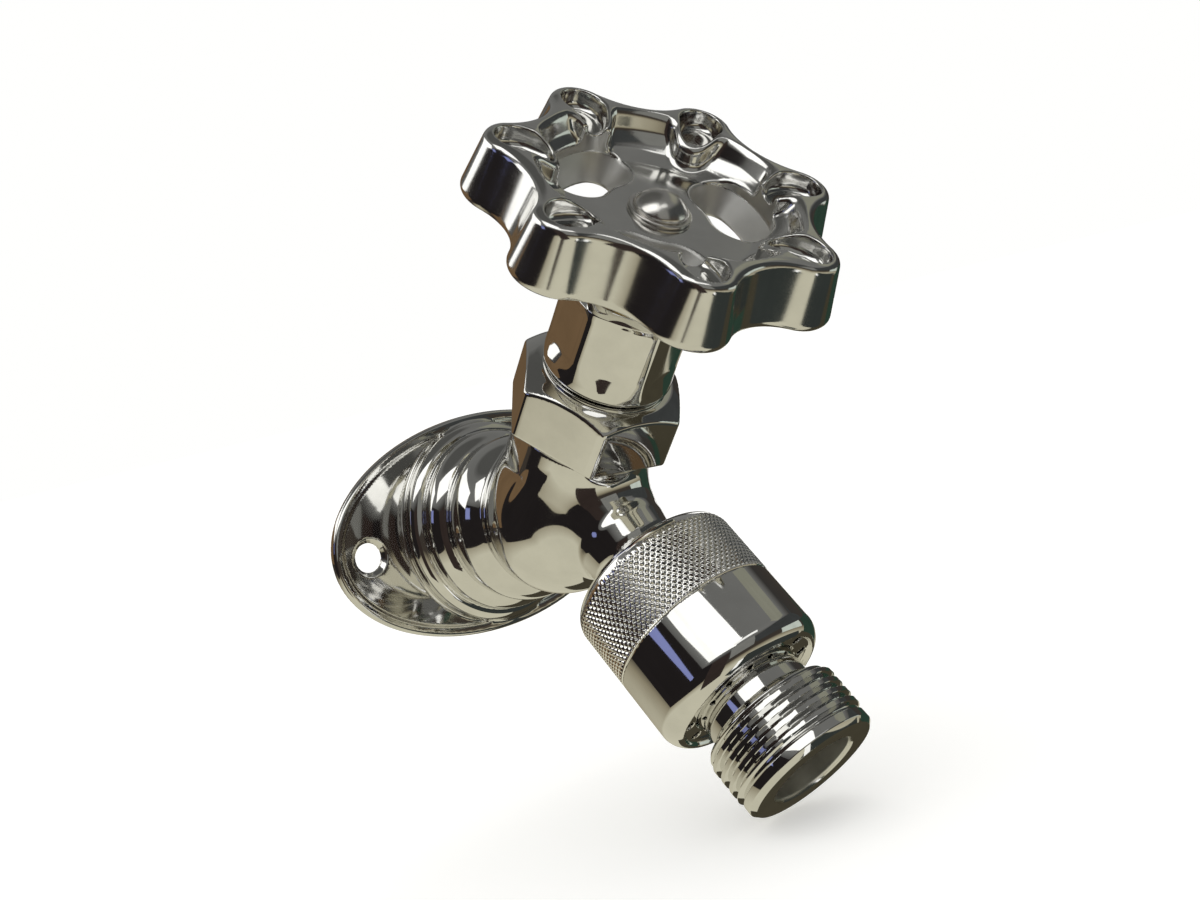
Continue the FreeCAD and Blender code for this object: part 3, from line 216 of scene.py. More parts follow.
def gradient(field, points, reach):
    """Value and slope of a field at the points, measured over a short reach to each side."""
    x, y, z = points.T
    value = field(x, y, z)
    slope = np.stack([
        field(x + reach, y, z) - field(x - reach, y, z),
        field(x, y + reach, z) - field(x, y - reach, z),
        field(x, y, z + reach) - field(x, y, z - reach)], axis=1) / (2 * reach)
    return value, slope


def new_piece(name, points, faces, line, normals=None):
    """Mesh object in the row frame from millimetres on a line."""
    matrix = line.matrix()
    mesh = bpy.data.meshes.new(name)
    mesh.from_pydata([tuple(p) for p in points], [], [tuple(f) for f in faces])
    mesh.transform(matrix)
    mesh.validate()
    mesh.shade_smooth()
    if normals is not None:
        turned = np.array(matrix.to_3x3()) @ np.array(normals).T / MM
        mesh.normals_split_custom_set_from_vertices(turned.T.tolist())
    made = bpy.data.objects.new(name, mesh)
    bpy.context.scene.collection.objects.link(made)
    return made


def carve_piece(name, field, low, high, cell, line):
    """Piece whose surface is the field's, worked out on a grid between two corners."""
    points, quads, normals = surface(field, low, high, cell)
    return new_piece(name, points, quads, line, normals)


def outline(corners, steps=6):
    """Closed outline with rounded corners, each corner being radius, height and optional round."""
    found = []
    count = len(corners)
    for place, corner in enumerate(corners):
        spot = Vector(corner[:2])
        bend = corner[2] if len(corner) > 2 else 0
        before = Vector(corners[place - 1][:2]) - spot
        after = Vector(corners[(place + 1) % count][:2]) - spot
        if not bend or before.angle(after) > math.pi - 1e-3:
            found.append(spot)
            continue
        half = before.angle(after) / 2
        reach = min(bend / math.tan(half), before.length * 0.49, after.length * 0.49)
        bend = reach * math.tan(half)
        halfway = (before.normalized() + after.normalized()).normalized()
        middle = halfway * (bend / math.sin(half)) + spot
        start = spot + before.normalized() * reach - middle
        sweep = start.angle_signed(spot + after.normalized() * reach - middle)
        for step in range(steps + 1):
            turned = start.copy()
            turned.rotate(Matrix.Rotation(-sweep * step / steps, 2))
            found.append(middle + turned)
    return found


def lathe(name, line, corners, steps=192, shaping=None):
    """Turned piece round a line; shaping may change radius and height by the angle."""
    steps = int(steps / FINE)
    ring = np.array([tuple(p) for p in outline(corners)])
    angles = np.arange(steps) * 2 * math.pi / steps
    radius = np.repeat(ring[:, 0][None], steps, 0)
    height = np.repeat(ring[:, 1][None], steps, 0)
    turn = np.repeat(angles[:, None], len(ring), 1)
    if shaping:
        radius, height = shaping(radius, height, turn)
    points = np.stack([radius * np.cos(turn), radius * np.sin(turn), height], axis=2)
    points = points.reshape(-1, 3)
    size = len(ring)
    faces = []
    for step in range(steps):
        onward = (step + 1) % steps
        for place in range(size):
            after = (place + 1) % size
            faces.append((step * size + place, onward * size + place,
                          onward * size + after, step * size + after))
    made = new_piece(name, points, faces, line)
    finish_turned(made)
    return made


def finish_turned(made, crease=40):
    """Welds the points on the axis, turns the faces outwards and keeps sharp edges sharp."""
    work = bmesh.new()
    work.from_mesh(made.data)
    bmesh.ops.remove_doubles(work, verts=work.verts, dist=1e-6)
    bmesh.ops.dissolve_degenerate(work, dist=1e-7, edges=work.edges)
    bmesh.ops.recalc_face_normals(work, faces=work.faces)
    work.to_mesh(made.data)
    work.free()
    made.data.shade_smooth()
    made.data.set_sharp_from_angle(angle=math.radians(crease))


def mark_satin(piece, line, chosen):
    """Marks the points of a piece that were left rough by casting or boring."""
    places = np.empty(len(piece.data.vertices) * 3, np.float32)
    piece.data.vertices.foreach_get("co", places)
    marks = chosen(*line.local(*(places.reshape(-1, 3).T / MM))).astype(np.float32)
    layer = piece.data.attributes.new("satin", "FLOAT", "POINT")
    layer.data.foreach_set("value", marks)


def put(piece, body, node, material):
    """Fits a piece into the part: it rides on a body and stands for a node."""
    piece.data.materials.clear()
    piece.data.materials.append(material)
    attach(piece, body)
    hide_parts(node)
    return piece


# Materials

SATIN_ROUGHNESS = 0.34                  # added where a piece is marked as satin
WAVE_SCALE, GRAIN_SCALE = 90, 5200      # patches per metre


def new_material(name):
    """Material with its nodes, links and main shader."""
    material = bpy.data.materials.new(name)
    material.use_nodes = True
    nodes = material.node_tree.nodes
    return material, nodes, material.node_tree.links, nodes["Principled BSDF"]


def noise(nodes, links, scale, detail=4.0, rough=0.55):
    """Noise over the row frame's metres; scale is in patches per metre."""
    where = nodes.new("ShaderNodeTexCoord")
    made = nodes.new("ShaderNodeTexNoise")
    made.inputs["Scale"].default_value = scale
    made.inputs["Detail"].default_value = detail
    made.inputs["Roughness"].default_value = rough
    links.new(where.outputs["Object"], made.inputs["Vector"])
    return made.outputs["Fac"]


def graded(nodes, links, source, low, high, first, second):
    """Ramp from one colour to another over a stretch of a value."""
    ramp = nodes.new("ShaderNodeValToRGB")
    ramp.color_ramp.elements[0].position = low
    ramp.color_ramp.elements[1].position = high
    ramp.color_ramp.elements[0].color = (*first, 1)
    ramp.color_ramp.elements[1].color = (*second, 1)
    links.new(source, ramp.inputs["Fac"])
    return ramp.outputs["Color"]


def ranged(nodes, links, source, low, high):
    """A value from 0 to 1 as one from low to high."""
    made = nodes.new("ShaderNodeMapRange")
    made.inputs["To Min"].default_value = low
    made.inputs["To Max"].default_value = high
    links.new(source, made.inputs["Value"])
    return made.outputs["Result"]


def bump(nodes, links, source, strength, distance, before=None):
    """Normal bent by a height, on top of an earlier bend if there is one."""
    made = nodes.new("ShaderNodeBump")
    made.inputs["Strength"].default_value = strength
    made.inputs["Distance"].default_value = distance
    links.new(source, made.inputs["Height"])
    if before:
        links.new(before, made.inputs["Normal"])
    return made.outputs["Normal"]


def metal(name, bright, dark, rough_low, rough_high, wave_depth=0.0, grain_depth=0.0):
    """Metal with slow colour change, uneven polish, a soft waviness and a fine grain."""
    material, nodes, links, shader = new_material(name)
    shader.inputs["Metallic"].default_value = 1.0
    patches = noise(nodes, links, 160, 5)
    links.new(graded(nodes, links, patches, 0.35, 0.65, dark, bright), shader.inputs["Base Color"])
    smears = noise(nodes, links, 420, 6, 0.7)
    polish = ranged(nodes, links, smears, rough_low, rough_high)
    satin = nodes.new("ShaderNodeAttribute")
    satin.attribute_name = "satin"
    rougher = nodes.new("ShaderNodeMath")
    rougher.operation = "MULTIPLY_ADD"
    rougher.inputs[1].default_value = SATIN_ROUGHNESS
    links.new(satin.outputs["Fac"], rougher.inputs[0])
    links.new(polish, rougher.inputs[2])
    links.new(rougher.outputs["Value"], shader.inputs["Roughness"])
    normal = None
    if wave_depth:
        normal = bump(nodes, links, noise(nodes, links, WAVE_SCALE, 1.0), 1.0, wave_depth)
    if grain_depth:
        normal = bump(nodes, links, noise(nodes, links, GRAIN_SCALE, 3), 0.6, grain_depth, normal)
    if normal:
        links.new(normal, shader.inputs["Normal"])
    return material


def plain(name, first, second, rough, grain=2600, depth=0.00004):
    """Rubber, fibre or plastic with mottled colour and a fine grain."""
    material, nodes, links, shader = new_material(name)
    patches = noise(nodes, links, 700, 5)
    links.new(graded(nodes, links, patches, 0.3, 0.7, first, second), shader.inputs["Base Color"])
    fine = noise(nodes, links, grain, 4)
    links.new(ranged(nodes, links, fine, rough - 0.1, rough + 0.1), shader.inputs["Roughness"])
    links.new(bump(nodes, links, fine, 0.5, depth), shader.inputs["Normal"])
    return material


CHROME_BRIGHT = (0.80, 0.795, 0.775)
CHROME_DARK = (0.74, 0.735, 0.715)
casting_chrome = metal("casting_chrome", CHROME_BRIGHT, CHROME_DARK, 0.02, 0.09, 0.00006)
handle_chrome = metal("handle_chrome", CHROME_BRIGHT, CHROME_DARK, 0.08, 0.17, 0.00005, 0.000002)
turned_chrome = metal("turned_chrome", CHROME_BRIGHT, CHROME_DARK, 0.02, 0.07, 0.00002)
# The knurl's chrome is a lighter copy of the chrome: its near-white colour is painted highlight
# standing in for the glints on the knurl's diamonds
knurl_chrome_painted_highlight = metal("knurl_chrome_painted_highlight", (0.97, 0.965, 0.95), (0.92, 0.915, 0.90), 0.05, 0.12)
satin_steel = metal("satin_steel", (0.86, 0.84, 0.81), (0.74, 0.72, 0.69), 0.16, 0.26, 0, 0.000006)
brass = metal("brass_metal", (0.80, 0.63, 0.33), (0.66, 0.50, 0.24), 0.16, 0.32, 0, 0.000004)
spring_wire = metal("spring_wire", (0.62, 0.62, 0.62), (0.52, 0.52, 0.53), 0.15, 0.28)
black_rubber = plain("black_rubber", (0.022, 0.022, 0.024), (0.035, 0.034, 0.034), 0.62)
packing_cord = plain("packing_cord", (0.10, 0.10, 0.11), (0.19, 0.19, 0.20), 0.72, 4200, 0.00008)
fibre = plain("fibre", (0.26, 0.08, 0.05), (0.40, 0.15, 0.10), 0.78, 3800, 0.00006)
white_plastic = plain("white_plastic", (0.80, 0.80, 0.77), (0.87, 0.87, 0.85), 0.42, 1800, 0.00001)

# chrome_knurl gets the lighter chrome, whose extra brightness is painted highlight
MATERIALS = {
    "chrome_body": casting_chrome, "chrome_handle": handle_chrome, "chrome_knurl": knurl_chrome_painted_highlight,
    "chrome_turned": turned_chrome, "steel_screw": satin_steel, "brass": brass,
    "black_rubber": black_rubber, "packing_cord": packing_cord, "fibre": fibre,
    "white_plastic": white_plastic, "spring_steel": spring_wire,
}


def dress_cad_nodes():
    """Procedural finish on every CAD node, also those that a piece stands for."""
    for part in frame["record"]["subparts"]:
        node = frame["nodes"][part["node"]]
        node.data.materials.clear()
        node.data.materials.append(MATERIALS[part["material_slot"]])


# Valve body: flange, beads, ball, branch and horn as one smooth casting. Rods and bores are given
# as radius, start and end along their line.

FLANGE_LONG, FLANGE_SHORT, FLANGE_TOP = 37.2, 22.3, 2.2
RIM_WIDTH, FACE_LEVEL = 2.0, 1.4
RELIEF_MARGIN, RELIEF_DEPTH, RELIEF_MIDDLE, RELIEF_PAD = 4.2, 0.4, 14.6, 5.4
HOLE_OFFSET, HOLE_RADIUS, HOLE_FLARE = 29.1, 2.9, 0.9
NECK_STATIONS = [(20.3, 1.4), (18.2, 5.0), (15.9, 10.3), (14.5, 20.0)]
BEAD_ROUNDS = [2.5, 4.4, 9.0]
NECK_CORE = 13.8
BALL_RADIUS, BALL_CENTRE = 15.8, 27.0
HOSE_CREST, HOSE_DEPTH, HOSE_PITCH = 13.4, 0.95, 2.21
HORN_WIDE, HORN_NARROW = 12.9, 7.7
HORN_START, CONE_START, CONE_END = 2.0, 4.6, 21.0
HORN_STEM = (HORN_NARROW, 18.0, 26.0)
HORN_THREAD_START, HORN_THREAD_END = 25.3, 33.5
BRANCH = (13.2, -6.0, 12.0)
INLET_THREAD, INLET_WAY = (9.6, -2.0, 14.5), (6.0, 14.0, 21.5)
PIPE_RIDGE, PIPE_PITCH = 0.5, 1.814
STEM_BORES = [(4.4, -17.0, -10.0), (6.4, -10.5, -5.4), (8.0, -5.4, 5.0), (10.0, 4.6, 14.0)]
OUTLET_WAY = (5.2, 0.0, 35.0)
BODY_CELL = 0.4


def disc_through(start, end, bend):
    """Centre of the round that joins two places on a turned outline, towards the axis."""
    start, end = Vector(start), Vector(end)
    chord = end - start
    inward = Vector((-chord.y, chord.x)).normalized()
    return (start + end) / 2 + inward * math.sqrt(bend ** 2 - (chord.length / 2) ** 2)


def flange_field(x, up, out):
    """Oval plate with a raised rim in front and a relief behind."""
    plate = common(oval(x, up, FLANGE_LONG, FLANGE_SHORT), slab(out, 0, FLANGE_TOP), 0.8)
    inner = oval(x, up, FLANGE_LONG - RIM_WIDTH, FLANGE_SHORT - RIM_WIDTH)
    plate = carved(plate, common(inner, FACE_LEVEL - out, 0.6), 0.4)
    across = np.hypot(x, up)
    hollow = oval(x, up, FLANGE_LONG - RELIEF_MARGIN, FLANGE_SHORT - RELIEF_MARGIN)
    hollow = common(hollow, out - RELIEF_DEPTH, 0)
    hollow = carved(hollow, across - RELIEF_MIDDLE, 0)
    hollow = carved(hollow, np.hypot(np.abs(x) - HOLE_OFFSET, up) - RELIEF_PAD, 0)
    return carved(plate, hollow, 0.15)


def neck_field(across, out):
    """Three beads that step down from the flange to the ball."""
    shape = common(across - NECK_STATIONS[0][0], slab(out, 0.4, NECK_STATIONS[0][1]), 0)
    shape = np.minimum(shape, common(across - NECK_CORE, slab(out, 0, BALL_CENTRE), 0))
    for start, end, bend in zip(NECK_STATIONS, NECK_STATIONS[1:], BEAD_ROUNDS):
        centre = disc_through(start, end, bend)
        disc = np.hypot(across - centre.x, out - centre.y) - bend
        shape = joined(shape, disc, 0.35)
    return joined(shape, np.hypot(across, out - BALL_CENTRE) - BALL_RADIUS, 0.6)


def hose_thread_field(across, height, turn, low, high):
    """Outside of a male hose thread, its ridge dying out at both ends."""
    phase = (height - low) / HOSE_PITCH - turn / (2 * math.pi)
    fade = between(height, low, low + 0.9) * between(high - height, 0, 0.9)
    limit = HOSE_CREST - HOSE_DEPTH + HOSE_DEPTH * thread_height(phase) * fade
    return (across - limit) * 0.75


def horn_field(across, height, turn):
    """Cone from the ball to the thread that the vacuum breaker is screwed on."""
    slope = (HORN_WIDE - HORN_NARROW) / (CONE_END - CONE_START)
    cone = (across - HORN_NARROW - (CONE_END - height) * slope) / math.hypot(1, slope)
    horn = common(np.maximum(cone, across - HORN_WIDE), slab(height, HORN_START, CONE_END), 0)
    horn = joined(horn, rod(across, height, *HORN_STEM), 3.0)
    ends = HORN_THREAD_START, HORN_THREAD_END
    thread = common(hose_thread_field(across, height, turn, *ends), slab(height, *ends), 0.3)
    return joined(horn, thread, 0.3)


def body_field(x, y, z):
    """The whole casting in the row frame, with its water ways and screw holes."""
    side, up, out = x, z, -y
    across = np.hypot(side, up)
    shape = joined(flange_field(side, up, out), neck_field(across, out), 0.9)
    branch_x, branch_y, branch_height = STEM.local(x, y, z)
    branch_across = np.hypot(branch_x, branch_y)
    shape = joined(shape, rod(branch_across, branch_height, *BRANCH, 0.6), 2.2)
    horn_x, horn_y, horn_height = OUTLET.local(x, y, z)
    horn_across = np.hypot(horn_x, horn_y)
    horn_turn = np.arctan2(horn_y, horn_x)
    shape = joined(shape, horn_field(horn_across, horn_height, horn_turn), 2.6)
    pipe_phase = out / PIPE_PITCH - np.arctan2(up, side) / (2 * math.pi)
    pipe_thread = PIPE_RIDGE * thread_height(pipe_phase) * (out < INLET_THREAD[2])
    inlet = np.minimum(rod(across + pipe_thread, out, *INLET_THREAD), rod(across, out, *INLET_WAY))
    shape = carved(shape, inlet, 0.25)
    shape = carved(shape, rods(branch_across, branch_height, STEM_BORES), 0.2)
    shape = carved(shape, rod(horn_across, horn_height, *OUTLET_WAY), 0.3)
    hole_across = np.hypot(np.abs(side) - HOLE_OFFSET, up)
    flare = between(out, FACE_LEVEL - HOLE_FLARE, FACE_LEVEL + HOLE_FLARE) * 2 * HOLE_FLARE
    hole = common((hole_across - HOLE_RADIUS - flare) * 0.7, out - FLANGE_TOP - 1, 0)
    return carved(shape, hole, 0.15)


def build_body():
    low = (-FLANGE_LONG - 0.8, -64.5, -31.5)
    high = (FLANGE_LONG + 0.8, 0.8, 26.5)
    world = Line((0, 0, 0), (0, 0, 1))
    points, quads, normals = surface(body_field, low, high, BODY_CELL)
    points[:, 1] = np.minimum(points[:, 1], 0)      # keeps the back flat against the wall
    piece = new_piece("body_casting", points, quads, world, normals)
    put(piece, "valve", "valve_body", casting_chrome)


# Bonnet and packing nut

HEX_FOOT, HEX_TOP, DOME_TOP = 13.0, 22.6, 25.7
HEX_FLATS, HEX_CORNER, HEX_TURN = 29.0, 16.7, math.radians(-7.2)
DOME_BEND = 14.0
SPIGOT, BONNET_NECK = (9.95, 5.6, 14.0), (9.8, 22.0, 38.0)
BONNET_BORES = [(7.5, 5.0, 8.3), (6.05, 8.0, 18.1), (6.7, 18.0, 25.0), (4.81, 24.0, 28.0),
                (7.4, 27.6, 39.0)]
BONNET_CELL = 0.34
NUT_RADIUS, NUT_FOOT, NUT_TOP = 12.1, 25.9, 44.0
NUT_BORE, NUT_HOLE, NUT_ROOF = 9.85, 4.86, 40.6
FLAT_TURN, FLAT_POWER, FLAT_REACH = math.radians(-134), 12, 1.1


def bonnet_field(x, y, z):
    """Hexagon with a domed top, its spigot below and the neck inside the packing nut."""
    across = np.hypot(x, y)
    turn = np.arctan2(y, x) - HEX_TURN
    sixth = math.pi / 3
    fold = np.abs(turn - np.floor(turn / sixth) * sixth - sixth / 2)
    flats = across * np.cos(fold) - HEX_FLATS / 2
    edge = across * np.cos(sixth - fold) - HEX_FLATS / 2
    shape = common(common(flats, edge, 0.5), across - HEX_CORNER, 0.5)
    dome = disc_through((HEX_CORNER, HEX_TOP), (NUT_RADIUS, DOME_TOP), DOME_BEND)
    shape = common(shape, np.hypot(across - dome.x, z - dome.y) - DOME_BEND, 0.35)
    shape = common(shape, slab(z, HEX_FOOT, DOME_TOP), 0.5)
    shape = np.minimum(shape, rod(across, z, *SPIGOT, 0.3))
    shape = np.minimum(shape, rod(across, z, *BONNET_NECK, 0.3))
    return carved(shape, rods(across, z, BONNET_BORES), 0.1)


def build_bonnet():
    reach = HEX_CORNER + 0.6
    low, high = (-reach, -reach, SPIGOT[1] - 0.6), (reach, reach, BONNET_NECK[2] + 0.6)
    piece = carve_piece("bonnet_hexagon", bonnet_field, low, high, BONNET_CELL, STEM)
    put(piece, "valve", "bonnet", turned_chrome)


def flattened(radius, height, turn):
    """Six soft flats round the nut, fading out towards its ends."""
    sides = sum(np.abs(np.cos(turn - FLAT_TURN + k * math.pi / 3)) ** FLAT_POWER for k in range(3))
    reach = sides ** (-1.0 / FLAT_POWER) / FLAT_REACH
    depth = between(height, NUT_FOOT + 1.4, NUT_FOOT + 5.5)
    depth = depth * between(NUT_TOP - 0.2 - height, 0, 2.6)
    outside = between(radius, 10.2, 11.0)
    return radius * (1 + (np.minimum(reach, 1.0) - 1) * depth * outside), height


def build_packing_nut():
    corners = [(NUT_BORE, NUT_FOOT, 0.2), (NUT_RADIUS, NUT_FOOT, 1.8)]
    rows = 40
    for row in range(1, rows):
        corners.append((NUT_RADIUS, NUT_FOOT + 1.9 + (NUT_TOP - 3.3 - NUT_FOOT) * row / rows))
    corners += [(NUT_RADIUS, NUT_TOP - 1.4, 0.4), (NUT_RADIUS - 1.4, NUT_TOP, 0.4),
                (NUT_HOLE, NUT_TOP, 0.3), (NUT_HOLE, NUT_ROOF), (NUT_BORE, NUT_ROOF)]
    nut = lathe("packing_nut_cap", STEM, corners, 240, flattened)
    put(nut, "valve", "packing_nut", turned_chrome)


# Handle: seven lobes, dished middle, leaf pockets and windows

LOBES, LOBE_TURN = 7, math.radians(87.4)
TIP, VALLEY, LOBE_ROUND = 31.4, 25.2, 5.4
RIM, FOOT, FLARE, RIM_ROUND = 66.0, 54.0, 2.4, 1.7
HUB_TOP, HUB_ROOT, HUB_FOOT, HUB_RADIUS = 59.0, 57.0, 49.6, 7.2
DISH_RADIUS, DISH_FLARE, DISH_WALL_FOOT = 21.1, 2.5, 60.4
FLOOR_RISE, RISE_START, RISE_END = 1.8, 16.5, 21.6
LEAF_ROUNDS = [(21.5, 2.2), (24.8, 3.9), (27.0, 3.0)]
LEAF_BLEND, LEAF_DEPTH, LEAF_TAPER, NOSE_WALL = 2.0, 3.8, 0.12, 1.2
NOSE_SLOPE, NOSE_OUTER, NOSE_LENGTH = 0.5, 24.0, 6.0
WINDOWS, WINDOW_TURN, WINDOW_HALF = 3, math.radians(108), math.radians(35)
WINDOW_INNER, WINDOW_OUTER, WINDOW_TAPER = 9.4, 20.4, 0.55
HOLLOW_RADIUS, HOLLOW_DEPTH = 20.4, 0.8
SOCKET_HALF, SOCKET_TOP, SCREW_HOLE = 3.23, 58.6, 2.2
WHEEL_CELL = 0.34
WASHER_RADIUS, WASHER_THICK = 5.6, 0.8
HEAD_RADIUS, HEAD_EDGE, HEAD_HEIGHT, HEAD_BEND = 4.9, 0.4, 3.1, 6.0
SHANK_RADIUS, SHANK_LENGTH = 2.1, 12.0


def folded(x, y, count, first):
    """The plane folded into one of several equal sectors, as along and aside of its middle."""
    across = np.hypot(x, y)
    sector = 2 * math.pi / count
    turn = np.arctan2(y, x) - first
    turn = turn - np.round(turn / sector) * sector
    return across * np.cos(turn), across * np.sin(turn), turn


def lobed_field(x, y):
    """Distance from the wheel's outline at the rim, round lobes joined by hollows."""
    along, aside, _ = folded(x, y, LOBES, LOBE_TURN)
    aside = np.abs(aside)
    half = math.pi / LOBES
    near = TIP - LOBE_ROUND
    hollow = (near ** 2 + VALLEY ** 2 - 2 * near * VALLEY * math.cos(half) - LOBE_ROUND ** 2) / (
        2 * (near * math.cos(half) + LOBE_ROUND - VALLEY))
    bend_x = (VALLEY + hollow) * math.cos(half)
    bend_y = (VALLEY + hollow) * math.sin(half)
    on_lobe = (bend_x - near) * aside - bend_y * (along - near) < 0
    lobe = np.hypot(along - near, aside) - LOBE_ROUND
    valley = hollow - np.hypot(along - bend_x, aside - bend_y)
    return np.where(on_lobe, lobe, valley)


def leaf_field(along, aside):
    """Distance from a leaf pocket's outline, three rounds run together."""
    inner, middle, outer = [np.hypot(along - place, aside) - radius
                            for place, radius in LEAF_ROUNDS]
    return joined(joined(inner, middle, LEAF_BLEND), outer, LEAF_BLEND)


def window_field(x, y):
    """Distance from the nearest of the round-ended windows in the web."""
    middle, round_end = (WINDOW_INNER + WINDOW_OUTER) / 2, (WINDOW_OUTER - WINDOW_INNER) / 2
    half = WINDOW_HALF - round_end / middle
    _, _, turn = folded(x, y, WINDOWS, WINDOW_TURN)
    across = np.hypot(x, y)
    past = np.maximum(np.abs(turn) - half, 0)
    return np.hypot(across * np.cos(past) - middle, across * np.sin(past)) - round_end


def handle_field(x, y, z):
    """The wheel: lobed plate, less its dish, pockets, underside, windows and drive socket."""
    across = np.hypot(x, y)
    wall = (lobed_field(x, y) - FLARE * (RIM - z) / (RIM - FOOT)) * 0.98
    shape = common(wall, slab(z, FOOT, RIM), RIM_ROUND)
    along, aside, _ = folded(x, y, LOBES, LOBE_TURN)
    leaf = leaf_field(along, aside)
    dish_wall = (across - DISH_RADIUS - DISH_FLARE * between(z, DISH_WALL_FOOT, RIM)) * 0.92
    floor = HUB_TOP + FLOOR_RISE * between(across, RISE_START, RISE_END)
    dish = common(dish_wall, floor - z, 2.0)
    dish = carved(dish, leaf - NOSE_WALL, 1.2)
    shape = carved(shape, dish, 0.6)
    nose_top = z - RIM + NOSE_SLOPE * np.clip(NOSE_OUTER - across, 0, NOSE_LENGTH)
    shape = common(shape, nose_top * 0.9, 0.9)
    pocket = common(leaf + LEAF_TAPER * (RIM - z), RIM - LEAF_DEPTH - z, 1.4)
    shape = carved(shape, pocket, 0.5)
    hollow = common(slab(across, HUB_RADIUS, HOLLOW_RADIUS), z - FOOT - HOLLOW_DEPTH, 0.4)
    hollow = carved(hollow, window_field(x, y) - 1.2, 0.4)
    shape = carved(shape, hollow, 0.4)
    shape = joined(shape, rod(across, z, HUB_RADIUS, HUB_FOOT, HUB_ROOT, 0.5), 0.6)
    window = (window_field(x, y) + WINDOW_TAPER * np.maximum(HUB_TOP - z, 0)) * 0.88
    shape = carved(shape, window, 0.5)
    socket = np.maximum(np.maximum(np.abs(x), np.abs(y)) - SOCKET_HALF, z - SOCKET_TOP)
    return carved(shape, np.minimum(socket, across - SCREW_HOLE), 0.15)


def build_handle():
    reach = TIP + FLARE + 0.6
    wheel = carve_piece("handle_wheel", handle_field, (-reach, -reach, HUB_FOOT - 0.6),
                        (reach, reach, RIM + 0.6), WHEEL_CELL, STEM)
    mark_satin(wheel, STEM, lambda x, y, z: (window_field(x, y) < 0.35) & (z < HUB_TOP - 0.1))
    put(wheel, "stem_and_handle", "handle", handle_chrome)
    base = HUB_TOP + WASHER_THICK
    washer = lathe("handle_washer_ring", STEM, [
        (SCREW_HOLE, HUB_TOP), (WASHER_RADIUS, HUB_TOP, 0.2),
        (WASHER_RADIUS, base, 0.25), (SCREW_HOLE, base)], 96)
    put(washer, "stem_and_handle", "handle_washer", satin_steel)
    head_low = base + HEAD_EDGE
    dome = disc_through((HEAD_RADIUS, head_low), (0.6, base + HEAD_HEIGHT), HEAD_BEND)
    end = base - SHANK_LENGTH
    corners = [(0, end), (SHANK_RADIUS - 0.3, end), (SHANK_RADIUS, end + 0.3),
               (SHANK_RADIUS, base), (HEAD_RADIUS, base, 0.15)]
    first = math.atan2(head_low - dome.y, HEAD_RADIUS - dome.x)
    last = math.pi / 2 - 0.02
    for step in range(13):
        turn = first + (last - first) * step / 12
        corners.append((max(dome.x + HEAD_BEND * math.cos(turn), 0),
                        dome.y + HEAD_BEND * math.sin(turn)))
    corners.append((0, dome.y + HEAD_BEND))
    screw = lathe("handle_screw_dome", STEM, corners, 96)
    put(screw, "stem_and_handle", "handle_screw", satin_steel)


# Vacuum breaker: knurled collar, vented shell and threaded nipple

BREAKER = 16.6
COLLAR_TOP, KNURL_TOP, COLLAR_FOOT = 24.9, 28.6, 40.5
SHELL_FOOT, SHELL_FLOOR, FACE = 55.6, 52.4, 54.5
CROWN_RADIUS, CROWN_DROP, CORNER_BEND = 13.9, 3.4, 4.2
COLLAR_BORE, LAP_RADIUS, LAP_DEPTH = 13.45, 15.05, 2.4
KNURL_COUNT, KNURL_DEPTH = 84, 0.3
SHELL_BORE, SHELL_LAP, RECESS_RADIUS, SHELL_MOUTH = 13.9, 15.0, 13.6, 10.45
BOTTOM_RADIUS = 14.2
VENTS, VENT_TURN, VENT_PLACE, VENT_RADIUS = 12, math.radians(24), 12.35, 0.95
SHELL_CELL = 0.3


def knurled(radius, height, turn):
    """Diamond knurl: two crossing sets of slanted grooves in the collar's outside."""
    pitch = 2 * math.pi * BREAKER / KNURL_COUNT
    run = turn * KNURL_COUNT / (2 * math.pi)
    climb = (height - COLLAR_FOOT) / (pitch * 1.25)
    first = np.abs((run + climb) % 1 - 0.5) * 2
    second = np.abs((run - climb) % 1 - 0.5) * 2
    groove = np.maximum(np.clip(first * 1.5 - 0.5, 0, 1), np.clip(second * 1.5 - 0.5, 0, 1))
    band = between(height, 27.2, 28.4) * between(COLLAR_FOOT - 0.25 - height, 0, 0.3)
    outside = radius > BREAKER - 1.2
    return radius - KNURL_DEPTH * groove * band * outside, height


def build_collar():
    shoulder = COLLAR_TOP + CROWN_DROP
    crown = disc_through((CROWN_RADIUS, COLLAR_TOP), (BREAKER, shoulder), CORNER_BEND)
    first = math.atan2(COLLAR_TOP - crown.y, CROWN_RADIUS - crown.x)
    last = math.atan2(shoulder - crown.y, BREAKER - crown.x)
    corners = [(COLLAR_BORE, COLLAR_FOOT - LAP_DEPTH), (COLLAR_BORE, COLLAR_TOP, 0.3)]
    for step in range(17):
        turn = first + (last - first) * step / 16
        corners.append((crown.x + CORNER_BEND * math.cos(turn),
                        crown.y + CORNER_BEND * math.sin(turn)))
    rows = int(96 / FINE)
    for row in range(1, rows):
        corners.append((BREAKER, shoulder + (COLLAR_FOOT - 0.2 - shoulder) * row / rows))
    corners += [(BREAKER, COLLAR_FOOT - 0.2), (BREAKER - 0.2, COLLAR_FOOT),
                (LAP_RADIUS, COLLAR_FOOT), (LAP_RADIUS, COLLAR_FOOT - LAP_DEPTH)]
    collar = lathe("breaker_knurled_collar", OUTLET, corners, KNURL_COUNT * 10, knurled)
    # The collar wears the lighter chrome, whose brightness is painted highlight
    put(collar, "valve", "breaker_collar", knurl_chrome_painted_highlight)


